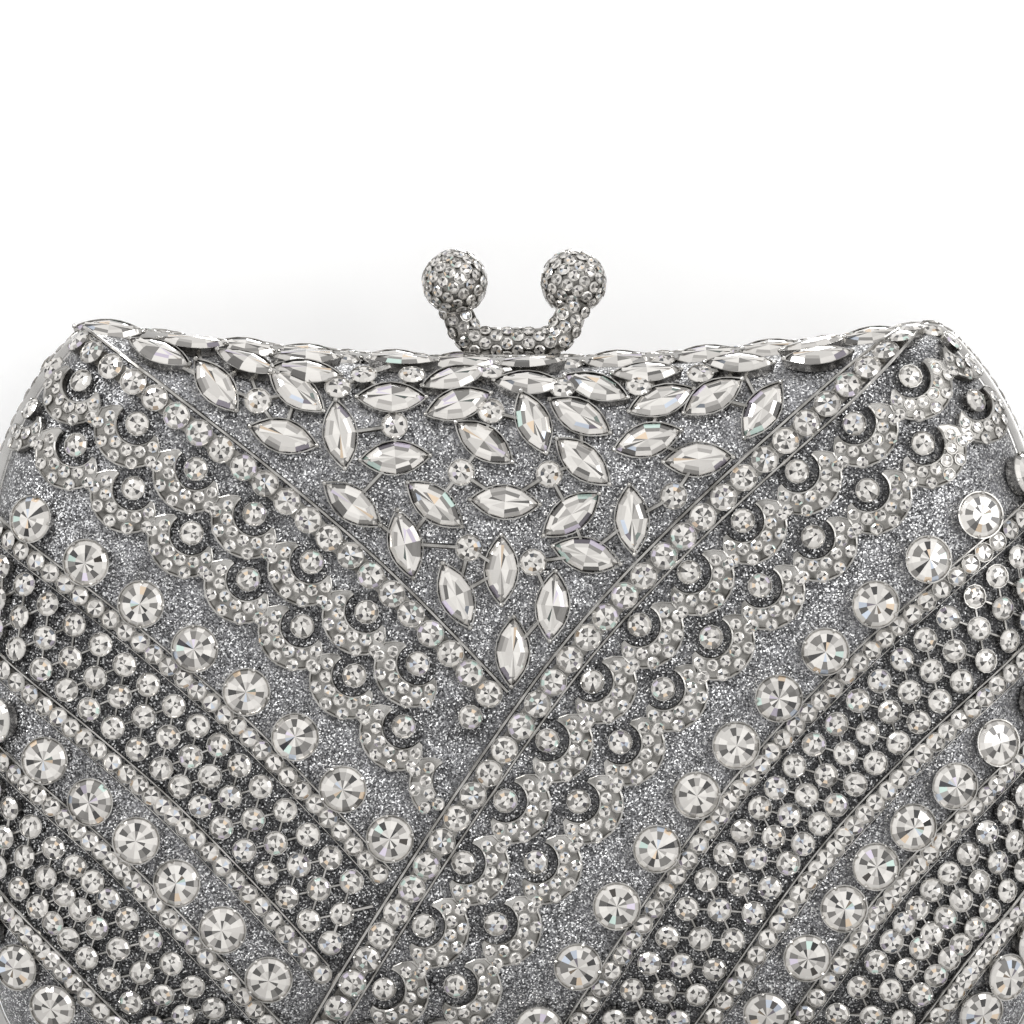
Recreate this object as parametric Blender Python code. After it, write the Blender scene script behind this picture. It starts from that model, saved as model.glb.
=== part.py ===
# A hard-case evening clutch: two domed halves hinged along the base. Each half has a metal frame,
# a glitter-covered panel, a lining tray and a cage of set stones, and carries one arm of the kiss-lock.
# The bag stands on its base, its front faces -Y, and the rear half is the front half turned round.

import math

import bmesh
import bpy
import numpy as np
from mathutils import Matrix, Vector
from mathutils.bvhtree import BVHTree

mm = 0.001

# Whole bag
half_width = 97.6 * mm  # frame, middle to side
outline_height = 132.7 * mm  # frame, base to upper corners
half_depth = 25.0 * mm  # mouth to the panel's face
gap = 0.3 * mm  # between pieces that touch
rail_height = 1.9 * mm  # border rail, from the panel outwards; it lifts the frames off the table

# Half of the outline from base to top: Bezier stretches in shares of the half width and of the height
outline_shares = (
    ((0.0, 0.0), (0.26, 0.0), (0.53, 0.0), (0.79, 0.0)),
    ((0.79, 0.0), (0.985, 0.0), (1.0, 0.04), (1.0, 0.498)),
    ((1.0, 0.498), (1.0, 0.699), (0.98, 0.854), (0.84, 0.970)),
    ((0.84, 0.970), (0.822, 0.985), (0.80, 1.004), (0.774, 1.0)),
    ((0.774, 1.0), (0.516, 0.969), (0.258, 0.953), (0.0, 0.953)),
)
outline_steps = (1, 6, 4, 2, 5)
middle_height_share = 0.521  # the panel swells round this height
panel_ring_shares = (0.99, 0.955, 0.88, 0.7)  # rings of the panel's face, in from its edge
inner_ring_shares = (0.95, 0.75)
swell_power = 8
swell_root = 2.2
rim_samples = 24  # on each step of the outline, to lay the pattern over the panel
profile_samples = 120

# Frame
frame_depth = 7.0 * mm
frame_wall = 1.2 * mm
frame_flange = 3.2 * mm
flange_wall = 1.2 * mm

# Panel and lining
panel_wall = 1.6 * mm
lining_wall = 1.0 * mm
lining_lip = 0.6 * mm  # the lining's edge, back from the mouth
lining_room = 1.6 * mm  # padding between panel and lining
ledge_width = 2.5 * mm  # border rail, along the depth

# Hinges
knuckle_radius = 1.7 * mm
knuckle_length = 8.0 * mm
knuckle_sides = 8
pin_radius = 0.8 * mm
pin_sides = 12
hinge_place = 46.0 * mm  # middle of each hinge, from the bag's middle
hinge_clearance = 0.35 * mm

# Cage: bands and rows, as distances from the middle line of the main bands
cage_base = gap
main_band_width = 5.2 * mm
main_stone_pitch = 4.95 * mm
main_stone_height = 2.5 * mm
main_waist_height = 1.7 * mm
main_waist_share = 0.84  # between two stones
thin_band_width = 4.1 * mm
thin_band_height = 1.9 * mm
strip_step = 4.0 * mm
station_steps = ((0.8, 1), (0.65, 2), (0.0, 4))  # share of the way to the rim, and a station every so many
line_samples = 40  # between two hand-set points
left_slack_shares = (0.138, 0.109, 0.041, 0.135)  # before each thin band, of what the rows leave free
right_slack_shares = (0.167, 0.116, 0.042, 0.118)
band_cup_sides = (-1, 0, -1, 1)  # large cups on the V's side of a band, none, or on its far side
chaton_radius = 4.15 * mm
chaton_height = 2.9 * mm
chaton_top_share = 0.76
chaton_sides = 6
chaton_pitch = 13.3 * mm
left_chaton_starts = (9.0 * mm, 13.2 * mm)  # first cup of each row, along the main band
right_chaton_starts = (10.4 * mm, 10.8 * mm)
chaton_seat = 0.5 * mm  # how far a cup runs into its band's wire
crescent_width = 4.2 * mm
crescent_drop = 4.0 * mm  # tips to the middle of the crescent
crescent_height = 2.1 * mm
crescent_pitch = 13.5 * mm
left_crescent_starts = (7.5 * mm, 0.6 * mm)  # first tip of each row, along the main band
right_crescent_starts = (10.7 * mm, 3.3 * mm)
crescent_swing_shares = (0.0, 0.72, 1.0, 0.72)  # tip, shoulder, middle, shoulder
crescent_width_shares = (0.42, 0.8, 1.0, 0.8)
crescent_row = 5.4 * mm  # first row's tips, from the main band
left_crescent_spacing = 9.8 * mm
right_crescent_spacing = 10.8 * mm
lattice_rise = 5.0 * mm  # outer stone rows, from the lattice's middle line
lattice_pitch = 9.45 * mm
lattice_bar = 1.5 * mm
lattice_base = 0.85 * mm  # the bars bridge from cup to cup, just off the panel
lattice_height = 1.9 * mm
marquise_length = 12.4 * mm
marquise_width = 6.2 * mm
marquise_height = 2.6 * mm
marquise_shoulder_share = 0.23  # of the length, from the middle
marquise_ridge_share = 0.8  # of the shoulders' distance
round_radius = 2.5 * mm
round_height = 2.3 * mm
round_sides = 6
setting_step = 0.07 * mm  # neighbours in one casting don't stand quite level
setting_levels = 4
stem_width = 1.2 * mm
stem_low = 1.1 * mm
stem_high = 1.8 * mm
stem_overrun = 0.4 * mm  # past the middle of the setting that it joins
floor_clearance = 0.3 * mm
nudge = 0.01 * mm  # to find the pattern's directions on the panel

# Middle lines of the main bands, in shares of the half width and of the outline height
left_line_shares = (
    (-0.893, 1.027),
    (-0.699, 0.925),
    (-0.554, 0.845),
    (-0.417, 0.765),
    (-0.254, 0.661),
    (-0.101, 0.548),
    (0.030, 0.444),
    (0.159, 0.335),
)
right_line_shares = (
    (0.841, 1.050),
    (0.583, 0.899),
    (0.345, 0.744),
    (0.125, 0.572),
    (-0.066, 0.379),
    (-0.232, 0.193),
    (-0.395, 0.003),
    (-0.550, -0.180),
)

# Marquise stones of the V: middle in shares as above, turn from level in degrees
marquise_shares = (
    (-0.004, 0.563, 88),
    (0.070, 0.625, 85),
    (-0.106, 0.640, -67),
    (-0.023, 0.674, 90),
    (0.134, 0.695, -15),
    (-0.200, 0.710, -77),
    (0.217, 0.742, -86),
    (0.105, 0.749, 37),
    (-0.017, 0.766, -4),
    (-0.146, 0.763, -39),
    (-0.299, 0.763, -37),
    (-0.220, 0.825, 4),
    (-0.056, 0.845, -36),
    (0.127, 0.820, -41),
    (0.247, 0.849, 16),
    (0.339, 0.824, 4),
    (-0.427, 0.854, -16),
    (-0.322, 0.857, -82),
    (0.035, 0.872, -69),
    (0.122, 0.881, -30),
    (0.459, 0.888, 58),
    (-0.105, 0.897, 21),
    (-0.230, 0.905, 2),
    (0.274, 0.901, 21),
    (0.370, 0.906, 33),
    (-0.405, 0.913, -40),
    (-0.554, 0.921, -54),
    (0.154, 0.922, -25),
    (0.026, 0.929, -3),
    (-0.115, 0.938, 25),
    (-0.394, 0.942, -5),
    (0.253, 0.946, 5),
    (0.430, 0.957, -4),
    (0.575, 0.963, 11),
    (-0.506, 0.954, -30),
    (-0.669, 0.968, -31),
    (-0.407, 0.974, 0),
    (0.032, 0.979, 0),
    (-0.626, 0.990, -3),
    (-0.224, 0.983, -5),
    (0.181, 0.987, 5),
    (0.380, 0.990, 15),
    (0.585, 0.991, 22),
)
round_shares = (
    (0.035, 0.685),
    (-0.083, 0.704),
    (0.295, 0.774),
    (0.064, 0.804),
    (-0.098, 0.806),
    (-0.221, 0.868),
    (-0.043, 0.887),
    (-0.475, 0.901),
    (0.092, 0.921),
    (0.235, 0.923),
    (-0.330, 0.919),
    (-0.196, 0.942),
    (-0.286, 0.940),
    (0.352, 0.940),
    (-0.045, 0.951),
)

# Kiss-lock, front arm: its foot is on the frame's top, and its ball leans over the mouth
arm_width = 4.8 * mm
arm_depth = 4.0 * mm
arm_lift = 4.5 * mm  # middle of the base band, above the frame's top
arm_half_span = 7.6 * mm
arm_bend = 4.2 * mm
arm_turn_share = 1.35  # where the bend starts, in bends inside the ball's middle
arm_turn_degrees = (0, 22, 44, 66)
arm_sides = 8
arm_back = 0.6 * mm  # from the mouth to the arm
foot_half_length = 6.4 * mm
foot_depth = 3.2 * mm
ball_radius = 6.0 * mm
ball_side = 11.0 * mm
ball_lift = 16.1 * mm  # middle of the ball, above the frame's top
ball_segments = 12
ball_rings = 8
hollow_segments = 16
hollow_rings = 10

outline_base = rail_height
middle_z = outline_base + middle_height_share * outline_height
rim_depth = frame_depth + gap
rail_far_depth = rim_depth + ledge_width
swell_depth = half_depth - rim_depth
lining_depth = half_depth - panel_wall - lining_room
frame_top = outline_base + outline_shares[-1][-1][1] * outline_height
arm_middle_depth = arm_back + arm_depth / 2
knuckle_step = knuckle_length + 2 * gap
pin_length = 2 * knuckle_step + knuckle_length
thin_band_room = (main_band_width + thin_band_width) / 2 + gap
crescent_room = (main_band_width + crescent_width) / 2 + gap
lattice_room = main_band_width / 2 + lattice_bar + gap
cup_room = 2 * chaton_radius - chaton_seat
lattice_width = 2 * lattice_rise + lattice_bar


def bezier(stretch, share):
    points = np.array(stretch)
    while len(points) > 1:
        points = points[:-1] * (1 - share) + points[1:] * share
    return points[0]


def outline(finer=1):
    """The closed outline seen from the front, anticlockwise from the middle of the base."""
    half = []
    for stretch, steps in zip(outline_shares, outline_steps):
        count = steps * finer
        half += [bezier(stretch, step / count) for step in range(count)]
    half.append(np.array(outline_shares[-1][-1]))
    right = np.array(half) * (half_width, outline_height) + (0, outline_base)
    left = right[-2:0:-1] * (-1, 1)
    return np.vstack([right, left])


def moved_in(points, distance):
    """The closed outline moved inwards by a distance."""
    before = points - np.roll(points, 1, axis=0)
    after = np.roll(points, -1, axis=0) - points
    before /= np.linalg.norm(before, axis=1)[:, None]
    after /= np.linalg.norm(after, axis=1)[:, None]
    inward_before = np.stack([-before[:, 1], before[:, 0]], axis=1)
    inward_after = np.stack([-after[:, 1], after[:, 0]], axis=1)
    inward = inward_before + inward_after
    inward /= np.linalg.norm(inward, axis=1)[:, None]
    reach = distance / np.sum(inward * inward_before, axis=1)
    return points + inward * reach[:, None]


rim = outline()
fine_rim = outline(finer=rim_samples)
rim_angles = np.arctan2(fine_rim[:, 1] - middle_z, fine_rim[:, 0])
rim_order = np.argsort(rim_angles)
rim_angles = rim_angles[rim_order]
rim_radii = np.hypot(fine_rim[:, 0], fine_rim[:, 1] - middle_z)[rim_order]
way_out = 1 - np.linspace(1, 0, profile_samples) ** 2  # shares of the way to the rim, closer near it


def swell(share):
    """How far the panel stands out of the frame, as a share, at a share of the way to the rim."""
    return (1 - np.minimum(share, 1.0) ** swell_power) ** (1 / swell_root)


profile_depths = swell_depth * swell(way_out)


def rim_radius(angle):
    return np.interp(angle, rim_angles, rim_radii, period=2 * math.pi)


def lengths_over(radius):
    """Distances over the panel's face from its middle to the shares in way_out."""
    steps = np.hypot(np.diff(way_out) * radius, np.diff(profile_depths))
    return np.concatenate([[0], np.cumsum(steps)])


def on_panel(across, up):
    """The point of the panel's face that a flat pattern laid over it puts at this place."""
    angle = math.atan2(up - middle_z, across)
    radius = rim_radius(angle)
    share = np.interp(math.hypot(across, up - middle_z), lengths_over(radius), way_out)
    depth = rim_depth + swell_depth * swell(share)
    reach = share * radius
    return Vector((reach * math.cos(angle), -depth, middle_z + reach * math.sin(angle)))


def seat(across, up, turn=0.0):
    """A frame on the panel's face: X along the pattern, Z straight out, turned about Z."""
    here = on_panel(across, up)
    along = on_panel(across + nudge, up) - on_panel(across - nudge, up)
    rise = on_panel(across, up + nudge) - on_panel(across, up - nudge)
    out = along.cross(rise).normalized()
    along.normalize()
    side = out.cross(along)
    axes = Matrix((along, side, out)).transposed().to_4x4()
    return Matrix.Translation(here) @ axes @ Matrix.Rotation(turn, 4, "Z")


def clear_of_edge(place, plan, height):
    """True where a whole setting, or a slice of a band, stands clear of the rail and of the table."""
    corners = [place @ Vector((x, y, level)) for x, y in plan for level in (cage_base, height)]
    return all(corner.y < -rail_far_depth - gap and corner.z > floor_clearance for corner in corners)


def line_through(shares):
    """A smooth line through hand-set points, as points about half a millimetre apart."""
    points = np.array(shares) * (half_width, outline_height) + (0, outline_base)
    first = 2 * points[0] - points[1]
    last = 2 * points[-1] - points[-2]
    knots = np.vstack([first, points, last])
    parts = []
    for before, start, end, after in zip(knots, knots[1:], knots[2:], knots[3:]):
        for share in np.linspace(0, 1, line_samples, endpoint=False):
            pull = (end - before) * share / 2
            push = (2 * before - 5 * start + 4 * end - after) * share**2 / 2
            bend = (3 * start - before - 3 * end + after) * share**3 / 2
            parts.append(start + pull + push + bend)
    parts.append(points[-1])
    return np.array(parts)


def away_from_v(turn):
    """The direction square to a band and away from the V, which is the downward one."""
    square = Vector((math.sin(turn), -math.cos(turn)))
    return square if square.y < 0 else -square


def stations(line, pitch, start=0.0, distance=0.0):
    """Places at an even pitch along a main band, moved away from the V: across, up and direction."""
    lengths = np.concatenate([[0], np.cumsum(np.linalg.norm(np.diff(line, axis=0), axis=1))])
    marks = np.arange(start, lengths[-1], pitch)
    across = np.interp(marks, lengths, line[:, 0])
    up = np.interp(marks, lengths, line[:, 1])
    turns = np.arctan2(np.gradient(up), np.gradient(across))
    moved = distance * np.array([away_from_v(turn) for turn in turns])
    return list(zip(across + moved[:, 0], up + moved[:, 1], turns))


left_line = line_through(left_line_shares)
right_line = line_through(right_line_shares)


def beyond(line, across, up):
    """Distance from a main band, minus on the V's side of it."""
    offsets = np.array((across, up)) - line
    nearest = np.argmin(np.hypot(offsets[:, 0], offsets[:, 1]))
    along = line[min(nearest + 1, len(line) - 1)] - line[max(nearest - 1, 0)]
    away = away_from_v(math.atan2(along[1], along[0]))
    return math.copysign(math.hypot(*offsets[nearest]), away.dot(offsets[nearest]))


def room_beyond(line):
    """How far the panel's face reaches from a main band, away from the V."""
    room = 0.0
    for angle, radius in zip(rim_angles, rim_radii):
        reach = lengths_over(radius)[-1]
        room = max(room, beyond(line, reach * math.cos(angle), middle_z + reach * math.sin(angle)))
    return room


def band_places(line, last_crescents, slack_shares):
    """Distances of the thin bands from the main band. What the rows leave free is shared out."""
    first = last_crescents + crescent_drop + crescent_width / 2 + cup_room + thin_band_width / 2
    after_lattice = thin_band_width + lattice_width
    steps = np.array((first, after_lattice, thin_band_width + cup_room, after_lattice))
    slack = room_beyond(line) - steps.sum() - thin_band_width / 2
    return np.cumsum(steps + slack * np.array(slack_shares))


def kept(places, half, height, room):
    """The places where a band can run and, for the left side, that are clear of the right main band."""
    slice_plan = ((0, -half), (0, half))
    inside = [place for place in places if clear_of_edge(seat(*place[:3]), slice_plan, height)]
    if room is None:
        return inside
    return [place for place in inside if beyond(right_line, place[0], place[1]) < -room]


def loft(shape, rings, closed=False):
    """Skins rings of points, capped at both ends or run round to the first ring."""
    loops = [[shape.verts.new(point) for point in ring] for ring in rings]
    pairs = list(zip(loops, loops[1:]))
    if closed:
        pairs.append((loops[-1], loops[0]))
    for lower, upper in pairs:
        for index in range(len(lower)):
            nearby = (index + 1) % len(lower)
            shape.faces.new((lower[index], lower[nearby], upper[nearby], upper[index]))
    if not closed:
        shape.faces.new(loops[0][::-1])
        shape.faces.new(loops[-1])


def mesh_of(name, shape):
    bmesh.ops.recalc_face_normals(shape, faces=shape.faces)
    mesh = bpy.data.meshes.new(name)
    shape.to_mesh(mesh)
    shape.free()
    return mesh


def combined(name, mesh, other, operation):
    """One mesh from two, whose own shells may overlap too."""
    body = bpy.data.objects.new(name, mesh)
    tool = bpy.data.objects.new(name + "_tool", other)
    for helper in (body, tool):
        bpy.context.scene.collection.objects.link(helper)
    boolean = body.modifiers.new("join", "BOOLEAN")
    boolean.operation = operation
    boolean.object = tool
    boolean.solver = "EXACT"
    boolean.use_self = True
    graph = bpy.context.evaluated_depsgraph_get()
    result = bpy.data.meshes.new_from_object(body.evaluated_get(graph))
    result.name = name
    for helper in (body, tool):
        bpy.data.objects.remove(helper)
    return result


def round_plan(radius, sides):
    angles = [2 * math.pi * side / sides for side in range(sides)]
    return [(radius * math.cos(angle), radius * math.sin(angle)) for angle in angles]


chaton_plan = round_plan(chaton_radius, chaton_sides)
small_round_plan = round_plan(round_radius, round_sides)
marquise_shoulder = marquise_shoulder_share * marquise_length
marquise_end = (
    (marquise_length / 2, 0),
    (marquise_shoulder, marquise_width / 2),
    (-marquise_shoulder, marquise_width / 2),
)
marquise_plan = marquise_end + tuple((-x, -y) for x, y in marquise_end)


def chaton(shape, place):
    """A large round stone in its cup, drawn in towards its top."""
    rings = []
    for share, level in ((1, cage_base), (chaton_top_share, chaton_height)):
        rings.append([place @ Vector((share * x, share * y, level)) for x, y in chaton_plan])
    loft(shape, rings)


def marquise(shape, place, lift):
    """A pointed stone: two tips, four shoulders and a ridge along the top."""
    ridge_end = marquise_ridge_share * marquise_shoulder
    base = [shape.verts.new(place @ Vector((x, y, cage_base + lift))) for x, y in marquise_plan]
    top = marquise_height + lift
    ridge = [shape.verts.new(place @ Vector((x, 0, top))) for x in (ridge_end, -ridge_end)]
    shape.faces.new(base[::-1])
    for end in (0, 1):
        tip, first, second = base[3 * end], base[3 * end + 1], base[3 * end + 2]
        last = base[3 * end - 1]
        shape.faces.new((tip, first, ridge[end]))
        shape.faces.new((last, tip, ridge[end]))
        shape.faces.new((first, second, ridge[1 - end], ridge[end]))


def small_round(shape, place, lift):
    """A small round stone, whose sides rise to a point."""
    base = [shape.verts.new(place @ Vector((x, y, cage_base + lift))) for x, y in small_round_plan]
    top = shape.verts.new(place @ Vector((0, 0, round_height + lift)))
    shape.faces.new(base[::-1])
    for index, corner in enumerate(base):
        shape.faces.new((corner, base[(index + 1) % len(base)], top))


def tree_of(make, place, *measures):
    """The faces of one setting, to test what it meets."""
    single = bmesh.new()
    make(single, place, *measures)
    tree = BVHTree.FromBMesh(single)
    single.free()
    return tree


def openwork(name, settings):
    """One casting from settings of (maker, place). Those that meet are fused, and a short stem joins
    each group to its nearest neighbour."""
    trees = []
    stones = bmesh.new()
    for index, (make, place) in enumerate(settings):
        lift = setting_step * (index % setting_levels)
        make(stones, place, lift)
        trees.append(tree_of(make, place, lift))
    group = list(range(len(settings)))

    def merge(first, second):
        kept_number, old_number = group[first], group[second]
        for index, number in enumerate(group):
            if number == old_number:
                group[index] = kept_number

    pairs = [(a, b) for a in range(len(settings)) for b in range(a + 1, len(settings))]
    for first, second in pairs:
        if trees[first].overlap(trees[second]):
            merge(first, second)
    places = [place for _, place in settings]
    pairs.sort(key=lambda pair: (places[pair[0]].translation - places[pair[1]].translation).length)
    stems = bmesh.new()
    for first, second in pairs:
        if group[first] != group[second]:
            add_stem(stems, places[first], places[second])
            merge(first, second)
    return combined(name, mesh_of(name, stones), mesh_of("stems", stems), "UNION")


def add_stem(shape, start, end):
    """A wire between two settings, half way up their cups."""
    along = (end.translation - start.translation).normalized()
    rings = []
    for place, overrun in ((start, -stem_overrun), (end, stem_overrun)):
        out = place.to_3x3() @ Vector((0, 0, 1))
        side = along.cross(out).normalized() * stem_width / 2
        foot = place.translation + along * overrun
        rings.append([foot + side + out * stem_low, foot + out * stem_high, foot - side + out * stem_low])
    loft(shape, rings)


flat_band = ((-1, cage_base), (-1, None), (1, None), (1, cage_base))
ridged_bar = ((-1, lattice_base), (0, None), (1, lattice_base))
ridged_band = ((-1, cage_base), (0, None), (1, cage_base))


def strip(shape, places, section, corners=flat_band):
    """A band along places of the pattern. section(index) gives its half width and height there, and
    corners its cross-section: side shares, and a level or None for the height."""
    rings = []
    for index, place in enumerate(places):
        half, height = section(index)
        slice_seat = seat(*place[:3])
        rings.append([slice_seat @ Vector((0, side * half, level or height)) for side, level in corners])
    loft(shape, rings)


def thinned(places):
    """Leaves out the stations that a flat stretch of the panel doesn't need."""
    chosen = []
    for index, (across, up, turn) in enumerate(places):
        angle = math.atan2(up - middle_z, across)
        edge_share = math.hypot(across, up - middle_z) / rim_radius(angle)
        every = next(step for start, step in station_steps if edge_share >= start)
        if index % every == 0 or index == len(places) - 1:
            chosen.append((across, up, turn))
    return chosen


def frame_mesh():
    """The metal rim with its flange, and its share of the hinge knuckles."""
    profile = (
        (0.0, gap / 2),
        (0.0, frame_depth),
        (frame_flange, frame_depth),
        (frame_flange, frame_depth - flange_wall),
        (frame_wall, frame_depth - flange_wall),
        (frame_wall, gap / 2),
    )
    shape = bmesh.new()
    rings = []
    for inset, depth in profile:
        loop = moved_in(rim, inset)
        rings.append([Vector((x, -depth, z)) for x, z in loop])
    loft(shape, rings, closed=True)
    rim_mesh = mesh_of("frame", shape)

    own_places = (-hinge_place, hinge_place - knuckle_step, hinge_place + knuckle_step)
    other_places = tuple(-place for place in own_places)
    room = bmesh.new()
    for place in other_places:
        add_barrel(room, place, knuckle_step, knuckle_radius + hinge_clearance)
    cut = combined("frame", rim_mesh, mesh_of("room", room), "DIFFERENCE")
    knuckles = bmesh.new()
    for place in own_places:
        add_barrel(knuckles, place, knuckle_length, knuckle_radius)
    joined = combined("frame", cut, mesh_of("knuckles", knuckles), "UNION")
    bores = bmesh.new()
    for place in own_places:
        add_barrel(bores, place, knuckle_step, pin_radius + gap)
    return combined("frame", joined, mesh_of("bores", bores), "DIFFERENCE")


def add_barrel(shape, place, length, radius):
    """A round bar on the hinge line."""
    plan = round_plan(radius, knuckle_sides)
    rings = []
    for end in (-length / 2, length / 2):
        rings.append([Vector((place + end, y, outline_base + z)) for y, z in plan])
    loft(shape, rings)


def dish_mesh(name, outer_inset, wall, edge_depth, face_depth, outer_shares):
    """A domed shell inside the outline, open at the mouth: an outer and an inner skin."""
    straight = rim_depth - edge_depth
    rings = []
    skins = ((outer_inset, 0.0, outer_shares), (outer_inset + wall, wall, inner_ring_shares))
    for inset, thickness, ring_shares in skins:
        edge = moved_in(rim, inset)
        rise = face_depth - thickness - rim_depth
        skin = []
        if straight > 0:
            skin.append([Vector((x, -edge_depth, z)) for x, z in edge])
        skin.append([Vector((x, -rim_depth, z)) for x, z in edge])
        for share in ring_shares:
            loop = (edge - (0, middle_z)) * share + (0, middle_z)
            depth = rim_depth + rise * swell(share)
            skin.append([Vector((x, -depth, z)) for x, z in loop])
        rings.append(skin)
    shape = bmesh.new()
    outer, inner = rings
    loft(shape, outer[::-1] + inner)
    return mesh_of(name, shape)


def rail_mesh():
    """The cage's border: a flat-sided rail round the panel, next to the frame."""
    outer = moved_in(rim, -rail_height)
    inner = moved_in(rim, -gap)
    near = rim_depth
    shape = bmesh.new()
    section = ((inner, near), (outer, near), (outer, rail_far_depth), (inner, rail_far_depth))
    loft(shape, [[Vector((x, -depth, z)) for x, z in loop] for loop, depth in section], closed=True)
    return mesh_of("border_rail", shape)


def main_band_mesh(name, line, room):
    """A band of round stones between two wires: it swells at each stone."""
    shape = bmesh.new()
    half = main_band_width / 2
    places = kept(stations(line, main_stone_pitch / 2), half, main_stone_height, room)

    def section(index):
        if index % 2 == 0:
            return half, main_stone_height
        return main_waist_share * half, main_waist_height

    strip(shape, places, section)
    return mesh_of(name, shape)


def thin_band_mesh(name, guide, distance, room, cup_side, cup_start):
    """A thin band and, where cup_side isn't 0, the row of large cups soldered along it."""
    shape = bmesh.new()
    half = thin_band_width / 2
    places = thinned(kept(stations(guide, strip_step, 0.0, distance), half, thin_band_height, room))
    strip(shape, places, lambda index: (half, thin_band_height))
    wire = BVHTree.FromBMesh(shape)
    band = mesh_of(name, shape)
    if cup_side == 0:
        return band
    cups = bmesh.new()
    cup_distance = distance + cup_side * (chaton_radius + half - chaton_seat)
    cup_line = stations(guide, chaton_pitch, cup_start, cup_distance)
    limit = None if room is None else room + chaton_radius - half
    for across, up, turn in kept(cup_line, chaton_radius, chaton_height, limit):
        here = seat(across, up, turn + math.pi / chaton_sides)  # a corner meets the wire
        if clear_of_edge(here, chaton_plan, chaton_height) and tree_of(chaton, here).overlap(wire):
            chaton(cups, here)
    return combined(name, band, mesh_of("cups", cups), "UNION")


def scallops_mesh(name, guide, distance, start, room):
    """A chain of crescents that cup towards the V: thin where they meet, full at their middles."""
    shape = bmesh.new()
    places = []
    for index, (across, up, turn) in enumerate(stations(guide, crescent_pitch / 4, start, distance)):
        swing = crescent_swing_shares[index % 4] * crescent_drop
        away = away_from_v(turn)
        places.append((across + away.x * swing, up + away.y * swing, turn, index % 4))
    chosen = kept(places, crescent_width / 2, crescent_height, room)

    def section(index):
        share = crescent_width_shares[chosen[index][3]]
        return share * crescent_width / 2, crescent_height

    strip(shape, chosen, section, ridged_band)
    return mesh_of(name, shape)


def lattice_mesh(name, guide, distance, room):
    """Two zigzag bars that cross between two thin bands, as the stone rows of a lattice do."""
    meshes = []
    for phase in (1, -1):
        shape = bmesh.new()
        places = []
        middle = stations(guide, lattice_pitch / 2, 0.0, distance)
        for index, (across, up, turn) in enumerate(middle):
            swing = (0, 1, 0, -1)[index % 4] * phase * lattice_rise
            away = away_from_v(turn)
            places.append((across + away.x * swing, up + away.y * swing, turn))
        half = lattice_bar / 2
        chosen = kept(places, half, lattice_height, room)
        strip(shape, chosen, lambda index: (half, lattice_height), ridged_bar)
        meshes.append(mesh_of(name, shape))
    return combined(name, meshes[0], meshes[1], "UNION")


def cluster_mesh():
    """The stones of the V in their cups."""
    settings = []
    places = [(marquise, marquise_plan, marquise_height, shares) for shares in marquise_shares]
    places += [(small_round, small_round_plan, round_height, (*shares, 0)) for shares in round_shares]
    for make, plan, height, (x_share, z_share, degrees) in places:
        place = seat(x_share * half_width, z_share * outline_height + outline_base, math.radians(degrees))
        if clear_of_edge(place, plan, height + setting_levels * setting_step):
            settings.append((make, place))
    return openwork("marquise_cluster", settings)


def arm_mesh():
    """The base band, its bend and its rising arm, with the foot that holds it to the frame."""
    base_level = frame_top + arm_lift
    centre = Vector((ball_side - arm_turn_share * arm_bend, base_level + arm_bend))
    line = [(Vector((-arm_half_span, base_level)), 0.0)]
    for degrees in arm_turn_degrees:
        angle = math.radians(degrees)
        spot = centre + arm_bend * Vector((math.sin(angle), -math.cos(angle)))
        line.append((spot, angle))
    last, angle = line[-1]
    line.append((last + (ball_lift - arm_lift) / 2 * Vector((math.cos(angle), math.sin(angle))), angle))
    rings = []
    for spot, angle in line:
        across = Vector((-math.sin(angle), math.cos(angle)))
        ring = []
        for x, y in round_plan(0.5, arm_sides):
            edge = spot + across * (x * arm_width)
            ring.append(Vector((edge.x, y * arm_depth - arm_middle_depth, edge.y)))
        rings.append(ring)
    shape = bmesh.new()
    loft(shape, rings)
    arm = mesh_of("arm", shape)

    foot = bmesh.new()
    corners = ((-1, -1), (1, -1), (1, 1), (-1, 1))
    rings = []
    for level in (frame_top + gap, base_level):
        ring = []
        for x, y in corners:
            ring.append(Vector((x * foot_half_length, y * foot_depth / 2 - arm_middle_depth, level)))
        rings.append(ring)
    loft(foot, rings)
    arm = combined("arm", arm, mesh_of("foot", foot), "UNION")
    hollow = ball_shape(ball_radius + gap, hollow_segments, hollow_rings)
    return combined("clasp_arm", arm, mesh_of("hollow", hollow), "DIFFERENCE")


def ball_shape(radius, segments, rings):
    middle = Matrix.Translation((ball_side, 0, frame_top + ball_lift))
    shape = bmesh.new()
    bmesh.ops.create_uvsphere(shape, u_segments=segments, v_segments=rings, radius=radius, matrix=middle)
    return shape


def ball_mesh():
    return mesh_of("clasp_ball", ball_shape(ball_radius, ball_segments, ball_rings))


def pin_mesh():
    shape = bmesh.new()
    rings = []
    for end in (-pin_length / 2, pin_length / 2):
        rings.append([Vector((end, y, z)) for y, z in round_plan(pin_radius, pin_sides)])
    loft(shape, rings)
    return mesh_of("hinge_pin", shape)


def material(name, colour, metallic, roughness):
    made = bpy.data.materials.new(name)
    made.use_nodes = True
    shader = made.node_tree.nodes["Principled BSDF"]
    shader.inputs["Base Color"].default_value = (*colour, 1)
    shader.inputs["Metallic"].default_value = metallic
    shader.inputs["Roughness"].default_value = roughness
    return made


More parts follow.
